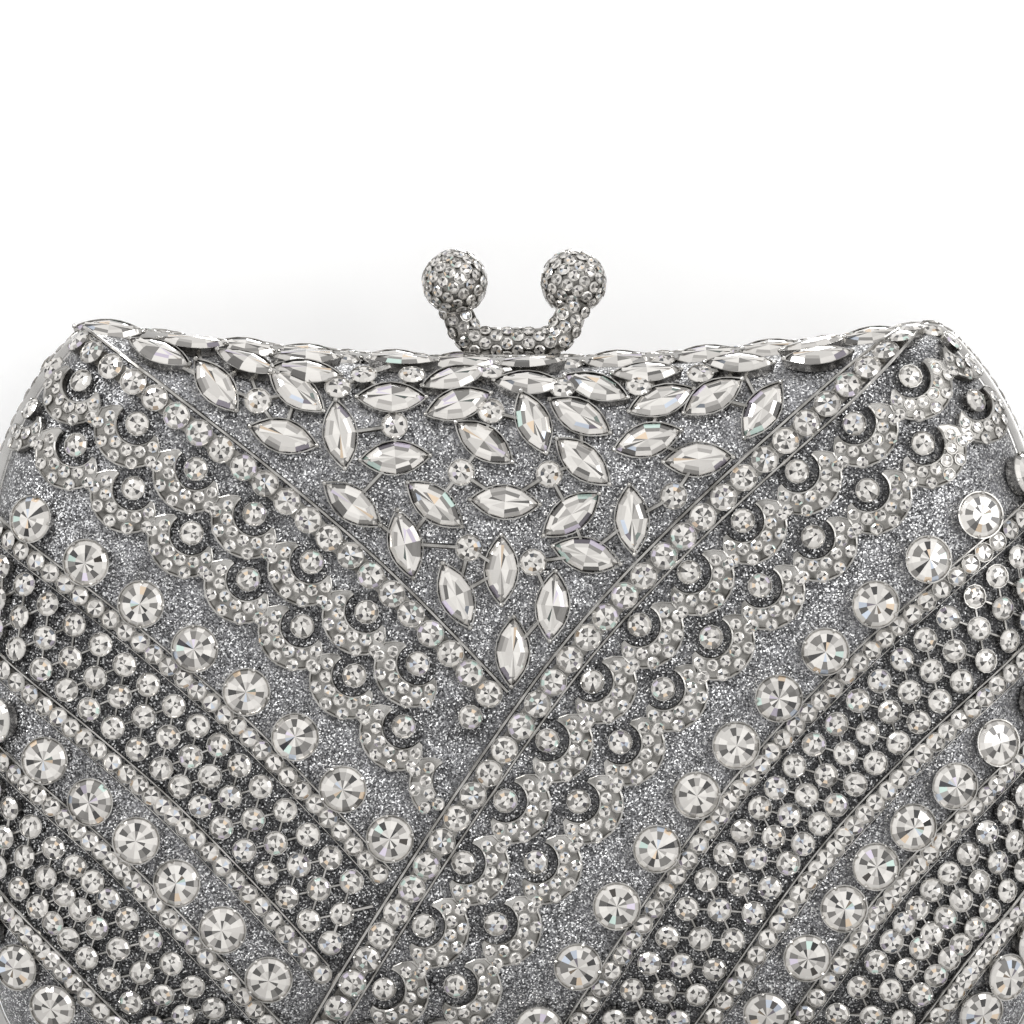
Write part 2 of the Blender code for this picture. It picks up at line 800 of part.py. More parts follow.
def half_meshes():
    """Every piece of one half, by its name, with its kind of finish."""
    panel = dish_mesh("panel", 0.0, panel_wall, rim_depth, half_depth, panel_ring_shares)
    tray_inset = frame_flange + gap
    lining = dish_mesh("lining", tray_inset, lining_wall, lining_lip, lining_depth, inner_ring_shares)
    pieces = {
        "frame": (frame_mesh(), "silver"),
        "panel": (panel, "glitter"),
        "lining": (lining, "satin"),
        "border_rail": (rail_mesh(), "silver"),
        "main_band_left": (main_band_mesh("main_band_left", left_line, thin_band_room), "stones"),
        "main_band_right": (main_band_mesh("main_band_right", right_line, None), "stones"),
        "marquise_cluster": (cluster_mesh(), "stones"),
        "clasp_arm": (arm_mesh(), "stones"),
        "clasp_ball": (ball_mesh(), "stones"),
    }
    # The left side's pieces end at the right main band, which crosses in front of them
    left_rooms = (crescent_room, thin_band_room, lattice_room)
    left_starts = (left_crescent_starts, left_chaton_starts)
    right_starts = (right_crescent_starts, right_chaton_starts)
    sides = (
        ("left", left_line, left_crescent_spacing, left_slack_shares, left_starts, left_rooms),
        ("right", right_line, right_crescent_spacing, right_slack_shares, right_starts, (None, None, None)),
    )
    for side, guide, spacing, slack_shares, (tips, cups), rooms in sides:
        for row, start in enumerate(tips):
            name = f"scallops_{side}_{row + 1}"
            distance = crescent_row + row * spacing
            pieces[name] = (scallops_mesh(name, guide, distance, start, rooms[0]), "stones")
        places = band_places(guide, crescent_row + spacing, slack_shares)
        for index, (distance, cup_side) in enumerate(zip(places, band_cup_sides)):
            name = f"thin_band_{side}_{index + 1}"
            start = cups[min(index // 2, 1)]
            pieces[name] = (thin_band_mesh(name, guide, distance, rooms[1], cup_side, start), "stones")
        for number, first in enumerate((0, 2), start=1):
            name = f"lattice_{side}_{number}"
            middle = (places[first] + places[first + 1]) / 2
            pieces[name] = (lattice_mesh(name, guide, middle, rooms[2]), "stones")
    return pieces


def build():
    for old in list(bpy.data.objects):
        bpy.data.objects.remove(old)
    finishes = {
        "silver": material("silver", (0.60, 0.58, 0.55), 1.0, 0.18),
        "glitter": material("glitter", (0.42, 0.43, 0.45), 0.4, 0.45),
        "satin": material("satin", (0.30, 0.31, 0.33), 0.0, 0.5),
        "stones": material("stones", (0.78, 0.76, 0.72), 0.2, 0.08),
    }
    scene = bpy.context.scene
    hinge = bpy.data.objects.new("front_half_pivot", None)
    hinge.location = (0, 0, outline_base)
    scene.collection.objects.link(hinge)
    back = bpy.data.objects.new("rear_half_base", None)
    back.rotation_euler = (0, 0, math.pi)
    scene.collection.objects.link(back)

    for name, (mesh, finish) in half_meshes().items():
        mesh.materials.clear()
        mesh.materials.append(finishes[finish])
        for side, parent, lift in (("front", hinge, -outline_base), ("rear", back, 0.0)):
            piece = bpy.data.objects.new(f"{side}_{name}", mesh)
            piece.parent = parent
            piece.location = (0, 0, lift)
            scene.collection.objects.link(piece)

    pin = pin_mesh()
    pin.materials.append(finishes["silver"])
    for name, place in (("hinge_pin_left", -hinge_place), ("hinge_pin_right", hinge_place)):
        piece = bpy.data.objects.new(name, pin)
        piece.location = (place, 0, outline_base)
        scene.collection.objects.link(piece)
    bpy.context.view_layer.update()


build()
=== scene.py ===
import math
import random

import bmesh
import bpy
import numpy as np
from mathutils import Matrix, Vector


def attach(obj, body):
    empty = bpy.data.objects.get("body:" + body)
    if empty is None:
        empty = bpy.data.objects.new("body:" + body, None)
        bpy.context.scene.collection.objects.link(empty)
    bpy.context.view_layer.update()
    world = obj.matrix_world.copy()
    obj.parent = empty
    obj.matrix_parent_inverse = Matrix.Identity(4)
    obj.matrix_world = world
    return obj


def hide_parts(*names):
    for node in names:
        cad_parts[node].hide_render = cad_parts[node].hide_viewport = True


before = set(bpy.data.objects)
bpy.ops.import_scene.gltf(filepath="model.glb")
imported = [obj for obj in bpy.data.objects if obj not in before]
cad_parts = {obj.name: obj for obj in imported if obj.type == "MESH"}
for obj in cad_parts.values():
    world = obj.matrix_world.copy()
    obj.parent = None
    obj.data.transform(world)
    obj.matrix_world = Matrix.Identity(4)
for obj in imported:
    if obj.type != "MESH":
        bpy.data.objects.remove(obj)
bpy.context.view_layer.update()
mm = 0.001
chance = random.Random(11)


def placed(name, data):
    made = bpy.data.objects.new(name, data)
    bpy.context.scene.collection.objects.link(made)
    return made


# Camera: straight on, level with the middle of the picture
view = {"across": -0.4 * mm, "up": 101.8 * mm, "distance": 0.90, "faceDepth": 27 * mm, "pictureWidth": 184.3 * mm}
cameraData = bpy.data.cameras.new("camera")
camera = placed("camera", cameraData)
cameraData.lens = cameraData.sensor_width * (view["distance"] - view["faceDepth"]) / view["pictureWidth"]
camera.location = (view["across"], -view["distance"], view["up"])
camera.rotation_euler = (math.pi / 2, 0, 0)
bpy.context.scene.camera = camera
print("camera made")

# The bag's own lines, the same as the frame's
bag = {
    "halfWidth": 97.6 * mm,
    "outlineHeight": 132.7 * mm,
    "base": 1.9 * mm,
    "halfDepth": 25.0 * mm,
    "rimDepth": 7.3 * mm,
    "railFarDepth": 9.8 * mm,
    "middleShare": 0.521,
    "swellPower": 8,
    "swellRoot": 2.2,
    "gap": 0.3 * mm,
    "cageBase": 0.3 * mm,
    "rimFiner": 24,
    "profileSteps": 120,
    "lineSteps": 40,
}
outlineShares = (
    ((0.0, 0.0), (0.26, 0.0), (0.53, 0.0), (0.79, 0.0)),
    ((0.79, 0.0), (0.985, 0.0), (1.0, 0.04), (1.0, 0.498)),
    ((1.0, 0.498), (1.0, 0.699), (0.98, 0.854), (0.84, 0.970)),
    ((0.84, 0.970), (0.822, 0.985), (0.80, 1.004), (0.774, 1.0)),
    ((0.774, 1.0), (0.516, 0.969), (0.258, 0.953), (0.0, 0.953)),
)
outlineSteps = (1, 6, 4, 2, 5)
middleZ = bag["base"] + bag["middleShare"] * bag["outlineHeight"]
swellDepth = bag["halfDepth"] - bag["rimDepth"]


def bezier(stretch, share):
    points = np.array(stretch)
    while len(points) > 1:
        points = points[:-1] * (1 - share) + points[1:] * share
    return points[0]


def outline(finer):
    half = []
    for stretch, steps in zip(outlineShares, outlineSteps):
        count = steps * finer
        half += [bezier(stretch, step / count) for step in range(count)]
    half.append(np.array(outlineShares[-1][-1]))
    right = np.array(half) * (bag["halfWidth"], bag["outlineHeight"]) + (0, bag["base"])
    return np.vstack([right, right[-2:0:-1] * (-1, 1)])


def movedIn(points, distance):
    before = points - np.roll(points, 1, axis=0)
    after = np.roll(points, -1, axis=0) - points
    before /= np.linalg.norm(before, axis=1)[:, None]
    after /= np.linalg.norm(after, axis=1)[:, None]
    inwardBefore = np.stack([-before[:, 1], before[:, 0]], axis=1)
    inward = inwardBefore + np.stack([-after[:, 1], after[:, 0]], axis=1)
    inward /= np.linalg.norm(inward, axis=1)[:, None]
    return points + inward * (distance / np.sum(inward * inwardBefore, axis=1))[:, None]


def runsAlong(points):
    # length from the first point to each
    return np.concatenate([[0], np.cumsum(np.linalg.norm(np.diff(points, axis=0), axis=1))])


fineRim = outline(bag["rimFiner"])
rimAngles = np.arctan2(fineRim[:, 1] - middleZ, fineRim[:, 0])
rimOrder = np.argsort(rimAngles)
rimAngles = rimAngles[rimOrder]
rimRadii = np.hypot(fineRim[:, 0], fineRim[:, 1] - middleZ)[rimOrder]
wayOut = 1 - np.linspace(1, 0, bag["profileSteps"]) ** 2


def swell(share):
    return (1 - np.minimum(share, 1.0) ** bag["swellPower"]) ** (1 / bag["swellRoot"])


profileDepths = swellDepth * swell(wayOut)


def rimRadius(angle):
    return np.interp(angle, rimAngles, rimRadii, period=2 * math.pi)


def lengthsOver(radius):
    return runsAlong(np.stack([wayOut * radius, profileDepths], axis=1))


def onPanel(across, up):
    angle = math.atan2(up - middleZ, across)
    radius = rimRadius(angle)
    share = np.interp(math.hypot(across, up - middleZ), lengthsOver(radius), wayOut)
    depth = bag["rimDepth"] + swellDepth * swell(share)
    return Vector((share * radius * math.cos(angle), -depth, middleZ + share * radius * math.sin(angle)))


def offPanel(x, z):
    # the other way round: where in the flat pattern a point of the panel lies
    angle = math.atan2(z - middleZ, x)
    radius = rimRadius(angle)
    reach = np.interp(math.hypot(x, z - middleZ) / radius, wayOut, lengthsOver(radius))
    return reach * math.cos(angle), middleZ + reach * math.sin(angle)


def axesOf(along, out):
    return Matrix((along, out.cross(along), out)).transposed().to_4x4()


def facing(normal, side="X"):
    return normal.to_track_quat("Z", side).to_matrix().to_4x4()


def seat(across, up, turn=0.0):
    # a place on the panel: X along the pattern, Z straight out
    nudge = 0.01 * mm
    along = (onPanel(across + nudge, up) - onPanel(across - nudge, up)).normalized()
    rise = onPanel(across, up + nudge) - onPanel(across, up - nudge)
    out = along.cross(rise).normalized()
    return Matrix.Translation(onPanel(across, up)) @ axesOf(along, out) @ Matrix.Rotation(turn, 4, "Z")


def circle(count, radius, start=0.0):
    turns = [start + 2 * math.pi * index / count for index in range(count)]
    return [(radius * math.cos(turn), radius * math.sin(turn)) for turn in turns]


def clearOfEdge(place, plan, height):
    corners = [place @ Vector((x, y, level)) for x, y in plan for level in (bag["cageBase"], height)]
    farEnough = bag["railFarDepth"] + bag["gap"]
    return all(corner.y < -farEnough and corner.z > bag["gap"] for corner in corners)


def lineThrough(shares):
    points = np.array(shares) * (bag["halfWidth"], bag["outlineHeight"]) + (0, bag["base"])
    knots = np.vstack([2 * points[0] - points[1], points, 2 * points[-1] - points[-2]])
    parts = []
    for before, start, end, after in zip(knots, knots[1:], knots[2:], knots[3:]):
        for share in np.linspace(0, 1, bag["lineSteps"], endpoint=False):
            pull = (end - before) * share / 2
            push = (2 * before - 5 * start + 4 * end - after) * share**2 / 2
            bend = (3 * start - before - 3 * end + after) * share**3 / 2
            parts.append(start + pull + push + bend)
    return np.array(parts + [points[-1]])


def awayFromV(turn):
    square = Vector((math.sin(turn), -math.cos(turn)))
    return square if square.y < 0 else -square


def stations(line, pitch, start=0.0, distance=0.0):
    # even places along a main band's line, moved away from the V
    lengths = runsAlong(line)
    marks = np.arange(start, lengths[-1], pitch)
    across, up = np.interp(marks, lengths, line[:, 0]), np.interp(marks, lengths, line[:, 1])
    turns = np.arctan2(np.gradient(up), np.gradient(across))
    moved = distance * np.array([awayFromV(turn) for turn in turns])
    return list(zip(across + moved[:, 0], up + moved[:, 1], turns))


leftLine = lineThrough((
    (-0.893, 1.027), (-0.699, 0.925), (-0.554, 0.845), (-0.417, 0.765),
    (-0.254, 0.661), (-0.101, 0.548), (0.030, 0.444), (0.159, 0.335),
))
rightLine = lineThrough((
    (0.841, 1.050), (0.583, 0.899), (0.345, 0.744), (0.125, 0.572),
    (-0.066, 0.379), (-0.232, 0.193), (-0.395, 0.003), (-0.550, -0.180),
))


def beyond(line, across, up):
    # distance from a main band, minus on the V's side of it
    offsets = np.array((across, up)) - line
    nearest = np.argmin(np.hypot(offsets[:, 0], offsets[:, 1]))
    along = line[min(nearest + 1, len(line) - 1)] - line[max(nearest - 1, 0)]
    away = awayFromV(math.atan2(along[1], along[0]))
    return math.copysign(math.hypot(*offsets[nearest]), away.dot(offsets[nearest]))


def fits(point, plan, reach, room, height):
    # clear of the rail and the table and, on the left side, of the right main band
    if room is not None and beyond(rightLine, point[0], point[1]) > -room - reach:
        return False
    return clearOfEdge(seat(*point), plan, height)


def roundFits(point, reach, room, height, sides=6, start=0.0):
    return fits(point, circle(sides, reach, start), reach, room, height)


print("pattern laid out")


# Materials, and the slots that every cage piece has
silverSlot, stoneSlot, shadedBedSlot = 0, 1, 2


def newMaterial(name):
    made = bpy.data.materials.new(name)
    made.use_nodes = True
    return made, made.node_tree, made.node_tree.nodes["Principled BSDF"]


def nodesOf(tree, *kinds):
    return [tree.nodes.new("ShaderNode" + kind) for kind in kinds]


def setTo(node, values):
    for socket, value in values.items():
        node.inputs[socket].default_value = value


def wired(tree, *links):
    # each link as (node, its outlet, next node, its inlet)
    for source, outlet, target, inlet in links:
        tree.links.new(source.outputs[outlet], target.inputs[inlet])


def unevenness():
    # slow noise over a surface for tarnish, and one nine times finer for polish
    group = bpy.data.node_groups.new("unevenness", "ShaderNodeTree")
    group.interface.new_socket("Scale", in_out="INPUT", socket_type="NodeSocketFloat")
    group.interface.new_socket("Slow", in_out="OUTPUT", socket_type="NodeSocketFloat")
    group.interface.new_socket("Fine", in_out="OUTPUT", socket_type="NodeSocketFloat")
    source, slow, fine, times = nodesOf(group, "TexCoord", "TexNoise", "TexNoise", "Math")
    inlet, outlet = group.nodes.new("NodeGroupInput"), group.nodes.new("NodeGroupOutput")
    times.operation = "MULTIPLY"
    setTo(times, {1: 9})
    wired(group, (inlet, "Scale", times, 0))
    for texture, scaler, scaled, name in ((slow, inlet, "Scale", "Slow"), (fine, times, 0, "Fine")):
        setTo(texture, {"Detail": 3})
        wired(
            group, (source, "Object", texture, "Vector"), (scaler, scaled, texture, "Scale"),
            (texture, "Fac", outlet, name),
        )
    return group


noiseGroup = unevenness()


def rampBetween(tree, stops):
    ramp = tree.nodes.new("ShaderNodeValToRGB")
    elements = ramp.color_ramp.elements
    while len(elements) < len(stops):
        elements.new(0.5)
    for element, (position, colour) in zip(elements, stops):
        element.position = position
        element.color = (*colour, 1)
    return ramp


def mixed(tree, blend="MIX"):
    mix = tree.nodes.new("ShaderNodeMix")
    mix.data_type, mix.blend_type = "RGBA", blend
    setTo(mix, {"Factor": 1})
    return mix


def attribute(tree, name):
    reader = tree.nodes.new("ShaderNodeAttribute")
    reader.attribute_name = name
    return reader


def metalMaterial(name, look):
    made, tree, shader = newMaterial(name)
    noise, polish, bump = nodesOf(tree, "Group", "MapRange", "Bump")
    noise.node_tree = noiseGroup
    colours = rampBetween(tree, ((look["dullAt"], look["dull"]), (look["brightAt"], look["bright"])))
    smooth, rough = look["roughness"]
    setTo(noise, {"Scale": look["scale"]})
    setTo(polish, {"To Min": smooth, "To Max": rough})
    setTo(bump, {"Strength": look["bump"], "Distance": look["bumpDepth"]})
    setTo(shader, {"Metallic": 1})
    wired(
        tree, (noise, "Slow", colours, "Fac"), (colours, "Color", shader, "Base Color"),
        (noise, "Fine", polish, "Value"), (polish, "Result", shader, "Roughness"),
        (noise, "Fine", bump, "Height"), (bump, "Normal", shader, "Normal"),
    )
    return made


silverLook = {
    "scale": 260, "dull": (0.21, 0.202, 0.188), "bright": (0.51, 0.496, 0.474), "roughness": (0.12, 0.32), "bump": 0.25,
    "dullAt": 0.32, "brightAt": 0.62, "bumpDepth": 0.05 * mm,
}
# the metal the stones sit on: the silver darkened as painted shade between the stones, with the same random unevenness
shadedBedLook = dict(
    silverLook, scale=420, dull=(0.088, 0.084, 0.077), bright=(0.30, 0.289, 0.27), roughness=(0.2, 0.4), bump=0.5,
)
polishedLook = dict(
    silverLook, scale=110, dull=(0.40, 0.39, 0.375), bright=(0.52, 0.51, 0.495), roughness=(0.16, 0.28), bump=0.06,
)
silver = metalMaterial("silverPlate", silverLook)
shadedBed = metalMaterial("shadedBedMetal", shadedBedLook)
polished = metalMaterial("polishedFrame", polishedLook)


def stoneMaterial():
    # foiled glass: each facet's colour is a painted reflection of a light or a dark part of the room, and a few carry
    # painted fire, the colours of split light
    look = {
        # painted reflection tones, from a facet mirroring a dark part of the room to one mirroring a bright part
        "tones": (
            (0.0, (0.02, 0.02, 0.022)), (0.3, (0.125, 0.121, 0.117)),
            (0.6, (0.40, 0.392, 0.383)), (1.0, (0.87, 0.86, 0.845)),
        ),
        # painted fire: most facets warm white, a few tinted as if they split the light
        "paintedFire": (
            (0.0, (1.0, 0.975, 0.94)), (0.93, (0.76, 0.85, 1.0)), (0.955, (1.0, 0.80, 0.60)),
            (0.975, (0.90, 0.82, 1.0)), (0.99, (0.76, 0.97, 0.90)),
        ),
        "shader": {"Metallic": 0.45, "Roughness": 0.06, "Coat Weight": 1.0, "Coat Roughness": 0.02},
    }
    made, tree, shader = newMaterial("foiledStone")
    colours, hues, tinted = rampBetween(tree, look["tones"]), rampBetween(tree, look["paintedFire"]), mixed(tree, "MULTIPLY")
    hues.color_ramp.interpolation = "CONSTANT"
    setTo(shader, look["shader"])
    wired(
        tree, (attribute(tree, "tone"), "Fac", colours, "Fac"), (attribute(tree, "paintedFire"), "Fac", hues, "Fac"),
        (colours, "Color", tinted, "A"), (hues, "Color", tinted, "B"), (tinted, "Result", shader, "Base Color"),
    )
    return made


def glitterMaterial():
    # fabric under loose foil flakes, each lying its own way; the brightest flakes are painted glints, and painted shade
    # darkens it where the cage shades it
    look = {
        "flakes": {"Scale": 1 / (0.24 * mm)}, "tilt": {"Scale": 0.7}, "shader": {"Metallic": 0.6, "Roughness": 0.32},
        "blotches": {"Scale": 320}, "patches": {"From Min": 0.3, "From Max": 0.7, "To Min": 0.6, "To Max": 1.2},
        # flake colours in the open: dark to grey at random, the brightest painted white as glints
        "open": (
            (0.0, (0.04, 0.04, 0.043)), (0.25, (0.115, 0.115, 0.121)), (0.55, (0.23, 0.23, 0.239)),
            (0.8, (0.41, 0.41, 0.419)), (0.92, (1.0, 1.0, 1.0)),
        ),
        # the same flakes under painted shade: darker, the brightest still painted glints
        "shaded": (
            (0.0, (0.016, 0.016, 0.017)), (0.35, (0.045, 0.045, 0.048)), (0.65, (0.10, 0.10, 0.103)),
            (0.85, (0.22, 0.22, 0.224)), (0.92, (0.8, 0.8, 0.8)),
        ),
    }
    made, tree, shader = newMaterial("glitterFabric")
    source, flakes, split, noise, patches = nodesOf(
        tree, "TexCoord", "TexVoronoi", "SeparateColor", "Group", "MapRange"
    )
    centred, tilted, surface, summed, straight = nodesOf(
        tree, "VectorMath", "VectorMath", "NewGeometry", "VectorMath", "VectorMath"
    )
    noise.node_tree = noiseGroup
    for node, operation in ((centred, "SUBTRACT"), (tilted, "SCALE"), (summed, "ADD"), (straight, "NORMALIZE")):
        node.operation = operation
    tones, shadedTones = rampBetween(tree, look["open"]), rampBetween(tree, look["shaded"])
    chosen, blotched = mixed(tree), mixed(tree, "MULTIPLY")
    setTo(centred, {1: (0.5, 0.5, 0.5)})
    for node, values in (
        (flakes, "flakes"), (tilted, "tilt"), (noise, "blotches"), (patches, "patches"), (shader, "shader"),
    ):
        setTo(node, look[values])
    # the panel's painted shade picks between the open and the shaded flake colours
    wired(
        tree, (source, "Object", flakes, "Vector"), (flakes, "Color", split, "Color"), (split, "Red", tones, "Fac"),
        (split, "Red", shadedTones, "Fac"), (attribute(tree, "paintedShade"), "Fac", chosen, "Factor"),
        (tones, "Color", chosen, "A"), (shadedTones, "Color", chosen, "B"), (noise, "Slow", patches, "Value"),
        (chosen, "Result", blotched, "A"), (patches, "Result", blotched, "B"),
        (blotched, "Result", shader, "Base Color"), (flakes, "Color", centred, 0), (centred, "Vector", tilted, 0),
        (tilted, "Vector", summed, 0), (surface, "Normal", summed, 1), (summed, "Vector", straight, 0),
        (straight, "Vector", shader, "Normal"),
    )
    return made


def satinMaterial():
    look = {
        "threads": {"Scale": 260, "Distortion": 1.5}, "dark": (0.20, 0.205, 0.22), "light": (0.36, 0.365, 0.38),
        "bump": {"Strength": 0.2, "Distance": 0.1 * mm}, "shader": {"Roughness": 0.38, "Sheen Weight": 0.4},
    }
    made, tree, shader = newMaterial("satinLining")
    source, threads, bump = nodesOf(tree, "TexCoord", "TexWave", "Bump")
    threads.bands_direction = "DIAGONAL"
    colours = rampBetween(tree, ((0.0, look["dark"]), (1.0, look["light"])))
    for node, values in ((threads, "threads"), (bump, "bump"), (shader, "shader")):
        setTo(node, look[values])
    wired(
        tree, (source, "Object", threads, "Vector"), (threads, "Fac", colours, "Fac"),
        (colours, "Color", shader, "Base Color"), (threads, "Fac", bump, "Height"), (bump, "Normal", shader, "Normal"),
    )
    return made


stone, glitter, satin = stoneMaterial(), glitterMaterial(), satinMaterial()
cageSlots = (silver, stone, shadedBed)
print("materials made")


# Shapes that the pieces share
def newShape():
    shape = bmesh.new()
    # each facet's painted reflection tone and painted fire
    shape.faces.layers.float.new("tone")
    shape.faces.layers.float.new("paintedFire")
    return shape


def asMesh(name, shape):
    mesh = bpy.data.meshes.new(name)
    shape.to_mesh(mesh)
    shape.free()
    return mesh


def add(shape, mesh, place):
    copy = mesh.copy()
    copy.transform(place)
    shape.from_mesh(copy)
    bpy.data.meshes.remove(copy)


def facets(shape, top, rings, middleTones, peak):
    # insets the top ring by ring and pokes its middle; every facet gets a painted reflection tone and its own painted
    # fire
    tone, paintedFire = shape.faces.layers.float["tone"], shape.faces.layers.float["paintedFire"]

    def paint(faces, tones, start=0):
        for index, face in enumerate(faces):
            face[tone] = chance.choice(tones[(index + start) % len(tones)])
            face[paintedFire] = chance.random()
            face.material_index = stoneSlot

    for thickness, rise, tones in rings:
        made = bmesh.ops.inset_individual(shape, faces=[top], thickness=thickness, depth=rise)["faces"]
        paint(made, tones, chance.randint(0, 1))
    paint(bmesh.ops.poke(shape, faces=[top], offset=peak)["faces"], middleTones)


def upFace(shape, known):
    top = next(face for face in shape.faces if face not in known)
    top.normal_update()
    if top.normal.z < 0:
        bmesh.ops.reverse_faces(shape, faces=[top])
    return top


def drawnOut(shape, edges):
    # a row of faces drawn out of open edges; its new points and edges come back
    made = bmesh.ops.extrude_edge_only(shape, edges=edges)["geom"]
    kinds = (bmesh.types.BMVert, bmesh.types.BMEdge)
    return tuple([item for item in made if isinstance(item, kind)] for kind in kinds)


def onRing(shape, edges, share, rise):
    # draws open edges out to a smaller or larger ring, higher or lower
    verts, edges = drawnOut(shape, edges)
    bmesh.ops.scale(shape, vec=(share, share, 1), verts=verts)
    bmesh.ops.translate(shape, vec=(0, 0, rise), verts=verts)
    return edges


# sets of painted reflection tones for facets, from light to dark
bright, lively, deep = (0.8, 0.9, 1.0), (0.4, 0.62, 0.8, 0.95), (0.05, 0.2, 0.38)
clear, dusky = (0.8, 0.9, 0.97, 1.0), (0.26, 0.44, 0.62, 0.8)
crownRise, kiteRise, tableRise = 0.7, 0.2, 0.1  # shares of a round stone's height over its rim


def cutStone(shape, look):
    # a round stone: crown facets, kites, then wedges from the middle of the table
    known = set(shape.faces)
    level = Matrix.Translation((0, 0, look["rim"] - look["drop"] / 2))
    bmesh.ops.create_circle(shape, cap_ends=True, segments=look["facets"], radius=look["stone"], matrix=level)
    top = upFace(shape, known)
    rise = look["height"] - look["rim"]
    # crown, kite and table facets get painted reflection tones
    rings = [(look["stone"] * look["crown"], rise * crownRise, (lively, bright))]
    if look["kites"]:
        rings.append((look["stone"] * look["kites"], rise * kiteRise, (bright, lively, deep)))
    facets(shape, top, rings, look["table"], rise * tableRise)


def cup(shape, look):
    # an open cone, its rim turned in and down to the stone
    middle = Matrix.Translation((0, 0, look["rim"] / 2))
    bmesh.ops.create_cone(
        shape, cap_ends=False, segments=look["sides"], radius1=look["foot"], radius2=look["cup"], depth=look["rim"],
        matrix=middle,
    )
    bmesh.ops.recalc_face_normals(shape, faces=shape.faces)
    edges = [edge for edge in shape.edges if edge.is_boundary and edge.verts[0].co.z > look["rim"] / 2]
    for share, rise in (((look["cup"] - look["wall"]) / look["cup"], 0.0), (look["taper"], -look["drop"])):
        edges = onRing(shape, edges, share, rise)
    bmesh.ops.recalc_face_normals(shape, faces=shape.faces)


def roundSetting(name, look):
    shape = newShape()
    cup(shape, look)
    for x, y in circle(look["prongs"], look["stone"] * look["prongPlace"], math.pi / 4):
        spot = Matrix.Translation((x, y, look["rim"]))
        bmesh.ops.create_icosphere(shape, subdivisions=1, radius=look["prongSize"], matrix=spot)
    cutStone(shape, look)
    return asMesh(name, shape)


def variants(name, look, count=5):
    return [roundSetting(f"{name}{index}", look) for index in range(count)]


bandStoneLook = {
    "cup": 2.5 * mm, "foot": 2.1 * mm, "rim": 1.75 * mm, "wall": 0.16 * mm, "drop": 0.3 * mm, "taper": 0.97,
    "sides": 14, "prongs": 4, "prongSize": 0.3 * mm, "prongPlace": 0.99, "stone": 2.34 * mm, "facets": 12,
    "crown": 0.28, "kites": 0.3, "height": 2.5 * mm, "table": (bright, lively, bright, deep, bright),
}
thinStoneLook = dict(
    bandStoneLook, cup=1.82 * mm, foot=1.6 * mm, rim=1.35 * mm, stone=1.7 * mm, wall=0.12 * mm, prongs=0, sides=10,
    facets=9, kites=0, height=1.95 * mm,
)
latticeStoneLook = dict(
    thinStoneLook, cup=2.25 * mm, foot=1.9 * mm, rim=1.5 * mm, wall=0.17 * mm, stone=2.08 * mm, facets=10, sides=12,
    prongs=4, prongSize=0.26 * mm, height=2.15 * mm, kites=0.3,
)
chatonLook = dict(
    bandStoneLook, cup=4.38 * mm, foot=3.7 * mm, rim=2.3 * mm, wall=0.24 * mm, drop=0.5 * mm, sides=26,
    prongSize=0.42 * mm, stone=4.1 * mm, facets=17, crown=0.2, kites=0.36, height=3.35 * mm,
)
paveLook = dict(
    bandStoneLook, cup=1.24 * mm, foot=1.24 * mm, rim=0.3 * mm, wall=0.12 * mm, drop=0.16 * mm, sides=9, prongs=0,
    stone=1.1 * mm, facets=8, kites=0, height=0.58 * mm, table=(bright, lively, deep, lively),
)
clusterRoundLook = dict(bandStoneLook, rim=1.7 * mm, stone=2.3 * mm, height=2.4 * mm)
bandStones = variants("bandStone", bandStoneLook)
thinStones = variants("thinStone", thinStoneLook)
latticeStones = variants("latticeStone", latticeStoneLook)
chatons = variants("chaton", chatonLook, 8)
paveStones = variants("paveStone", paveLook, 8)
clusterRounds = variants("clusterRound", clusterRoundLook)
print("stones cut")


def leaning(tiltX, tiltY):
    leanX, leanY = chance.uniform(-tiltX, tiltX), chance.uniform(-tiltY, tiltY)
    return Matrix.Rotation(leanX, 4, "X") @ Matrix.Rotation(leanY, 4, "Y")


def put(shape, kinds, place, lift, tilt):
    turn = Matrix.Rotation(chance.random() * 2 * math.pi, 4, "Z")
    lean = leaning(tilt, tilt)
    add(shape, chance.choice(kinds), place @ Matrix.Translation((0, 0, lift)) @ lean @ turn)


def grow(shape, loops):
    # a skin from a first loop of points through each further one; its two end loops come back
    ring = [shape.verts.new(point) for point in loops[0]]
    edges = [shape.edges.new((ring[index - 1], ring[index])) for index in range(len(ring))]
    first = ring
    for points in loops[1:]:
        fresh, edges = drawnOut(shape, edges)
        fresh = set(fresh)
        mates = []
        for vert, point in zip(ring, points):
            mate = next(edge.other_vert(vert) for edge in vert.link_edges if edge.other_vert(vert) in fresh)
            mate.co = point
            mates.append(mate)
        ring = mates
    return first, ring


def closedSkin(loops):
    # a skin through the loops, closed at both ends
    shape = newShape()
    for end in grow(shape, loops):
        shape.faces.new(end)
    bmesh.ops.recalc_face_normals(shape, faces=shape.faces)
    return shape


def smoothed(shape, slot=silverSlot):
    for face in shape.faces:
        face.smooth = True
        face.material_index = slot
    return shape


def addSweep(shape, places, section, slot=silverSlot):
    # a closed section drawn along places: (seat, width scale)
    loops = [[place @ Vector((0, side * width, level)) for side, level in section] for place, width in places]
    bar = closedSkin(loops)
    for face in bar.faces:
        face.material_index = slot
    mesh = asMesh("sweep", bar)
    shape.from_mesh(mesh)
    bpy.data.meshes.remove(mesh)


def wireSection(side, level, radius, sides=6):
    return [(side + x, level + y) for x, y in circle(sides, radius)]


def finish(name, shape, nodes, slots=cageSlots):
    mesh = asMesh(name, shape)
    for material in slots:
        mesh.materials.append(material)
    rear = mesh.copy()
    rear.transform(Matrix.Rotation(math.pi, 4, "Z"))
    for side, made in (("front", mesh), ("rear", rear)):
        piece = placed(f"{name}_{side}", made)
        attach(piece, f"{side}_half")
        if nodes:
            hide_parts(*[f"{side}_{node}" for node in nodes])


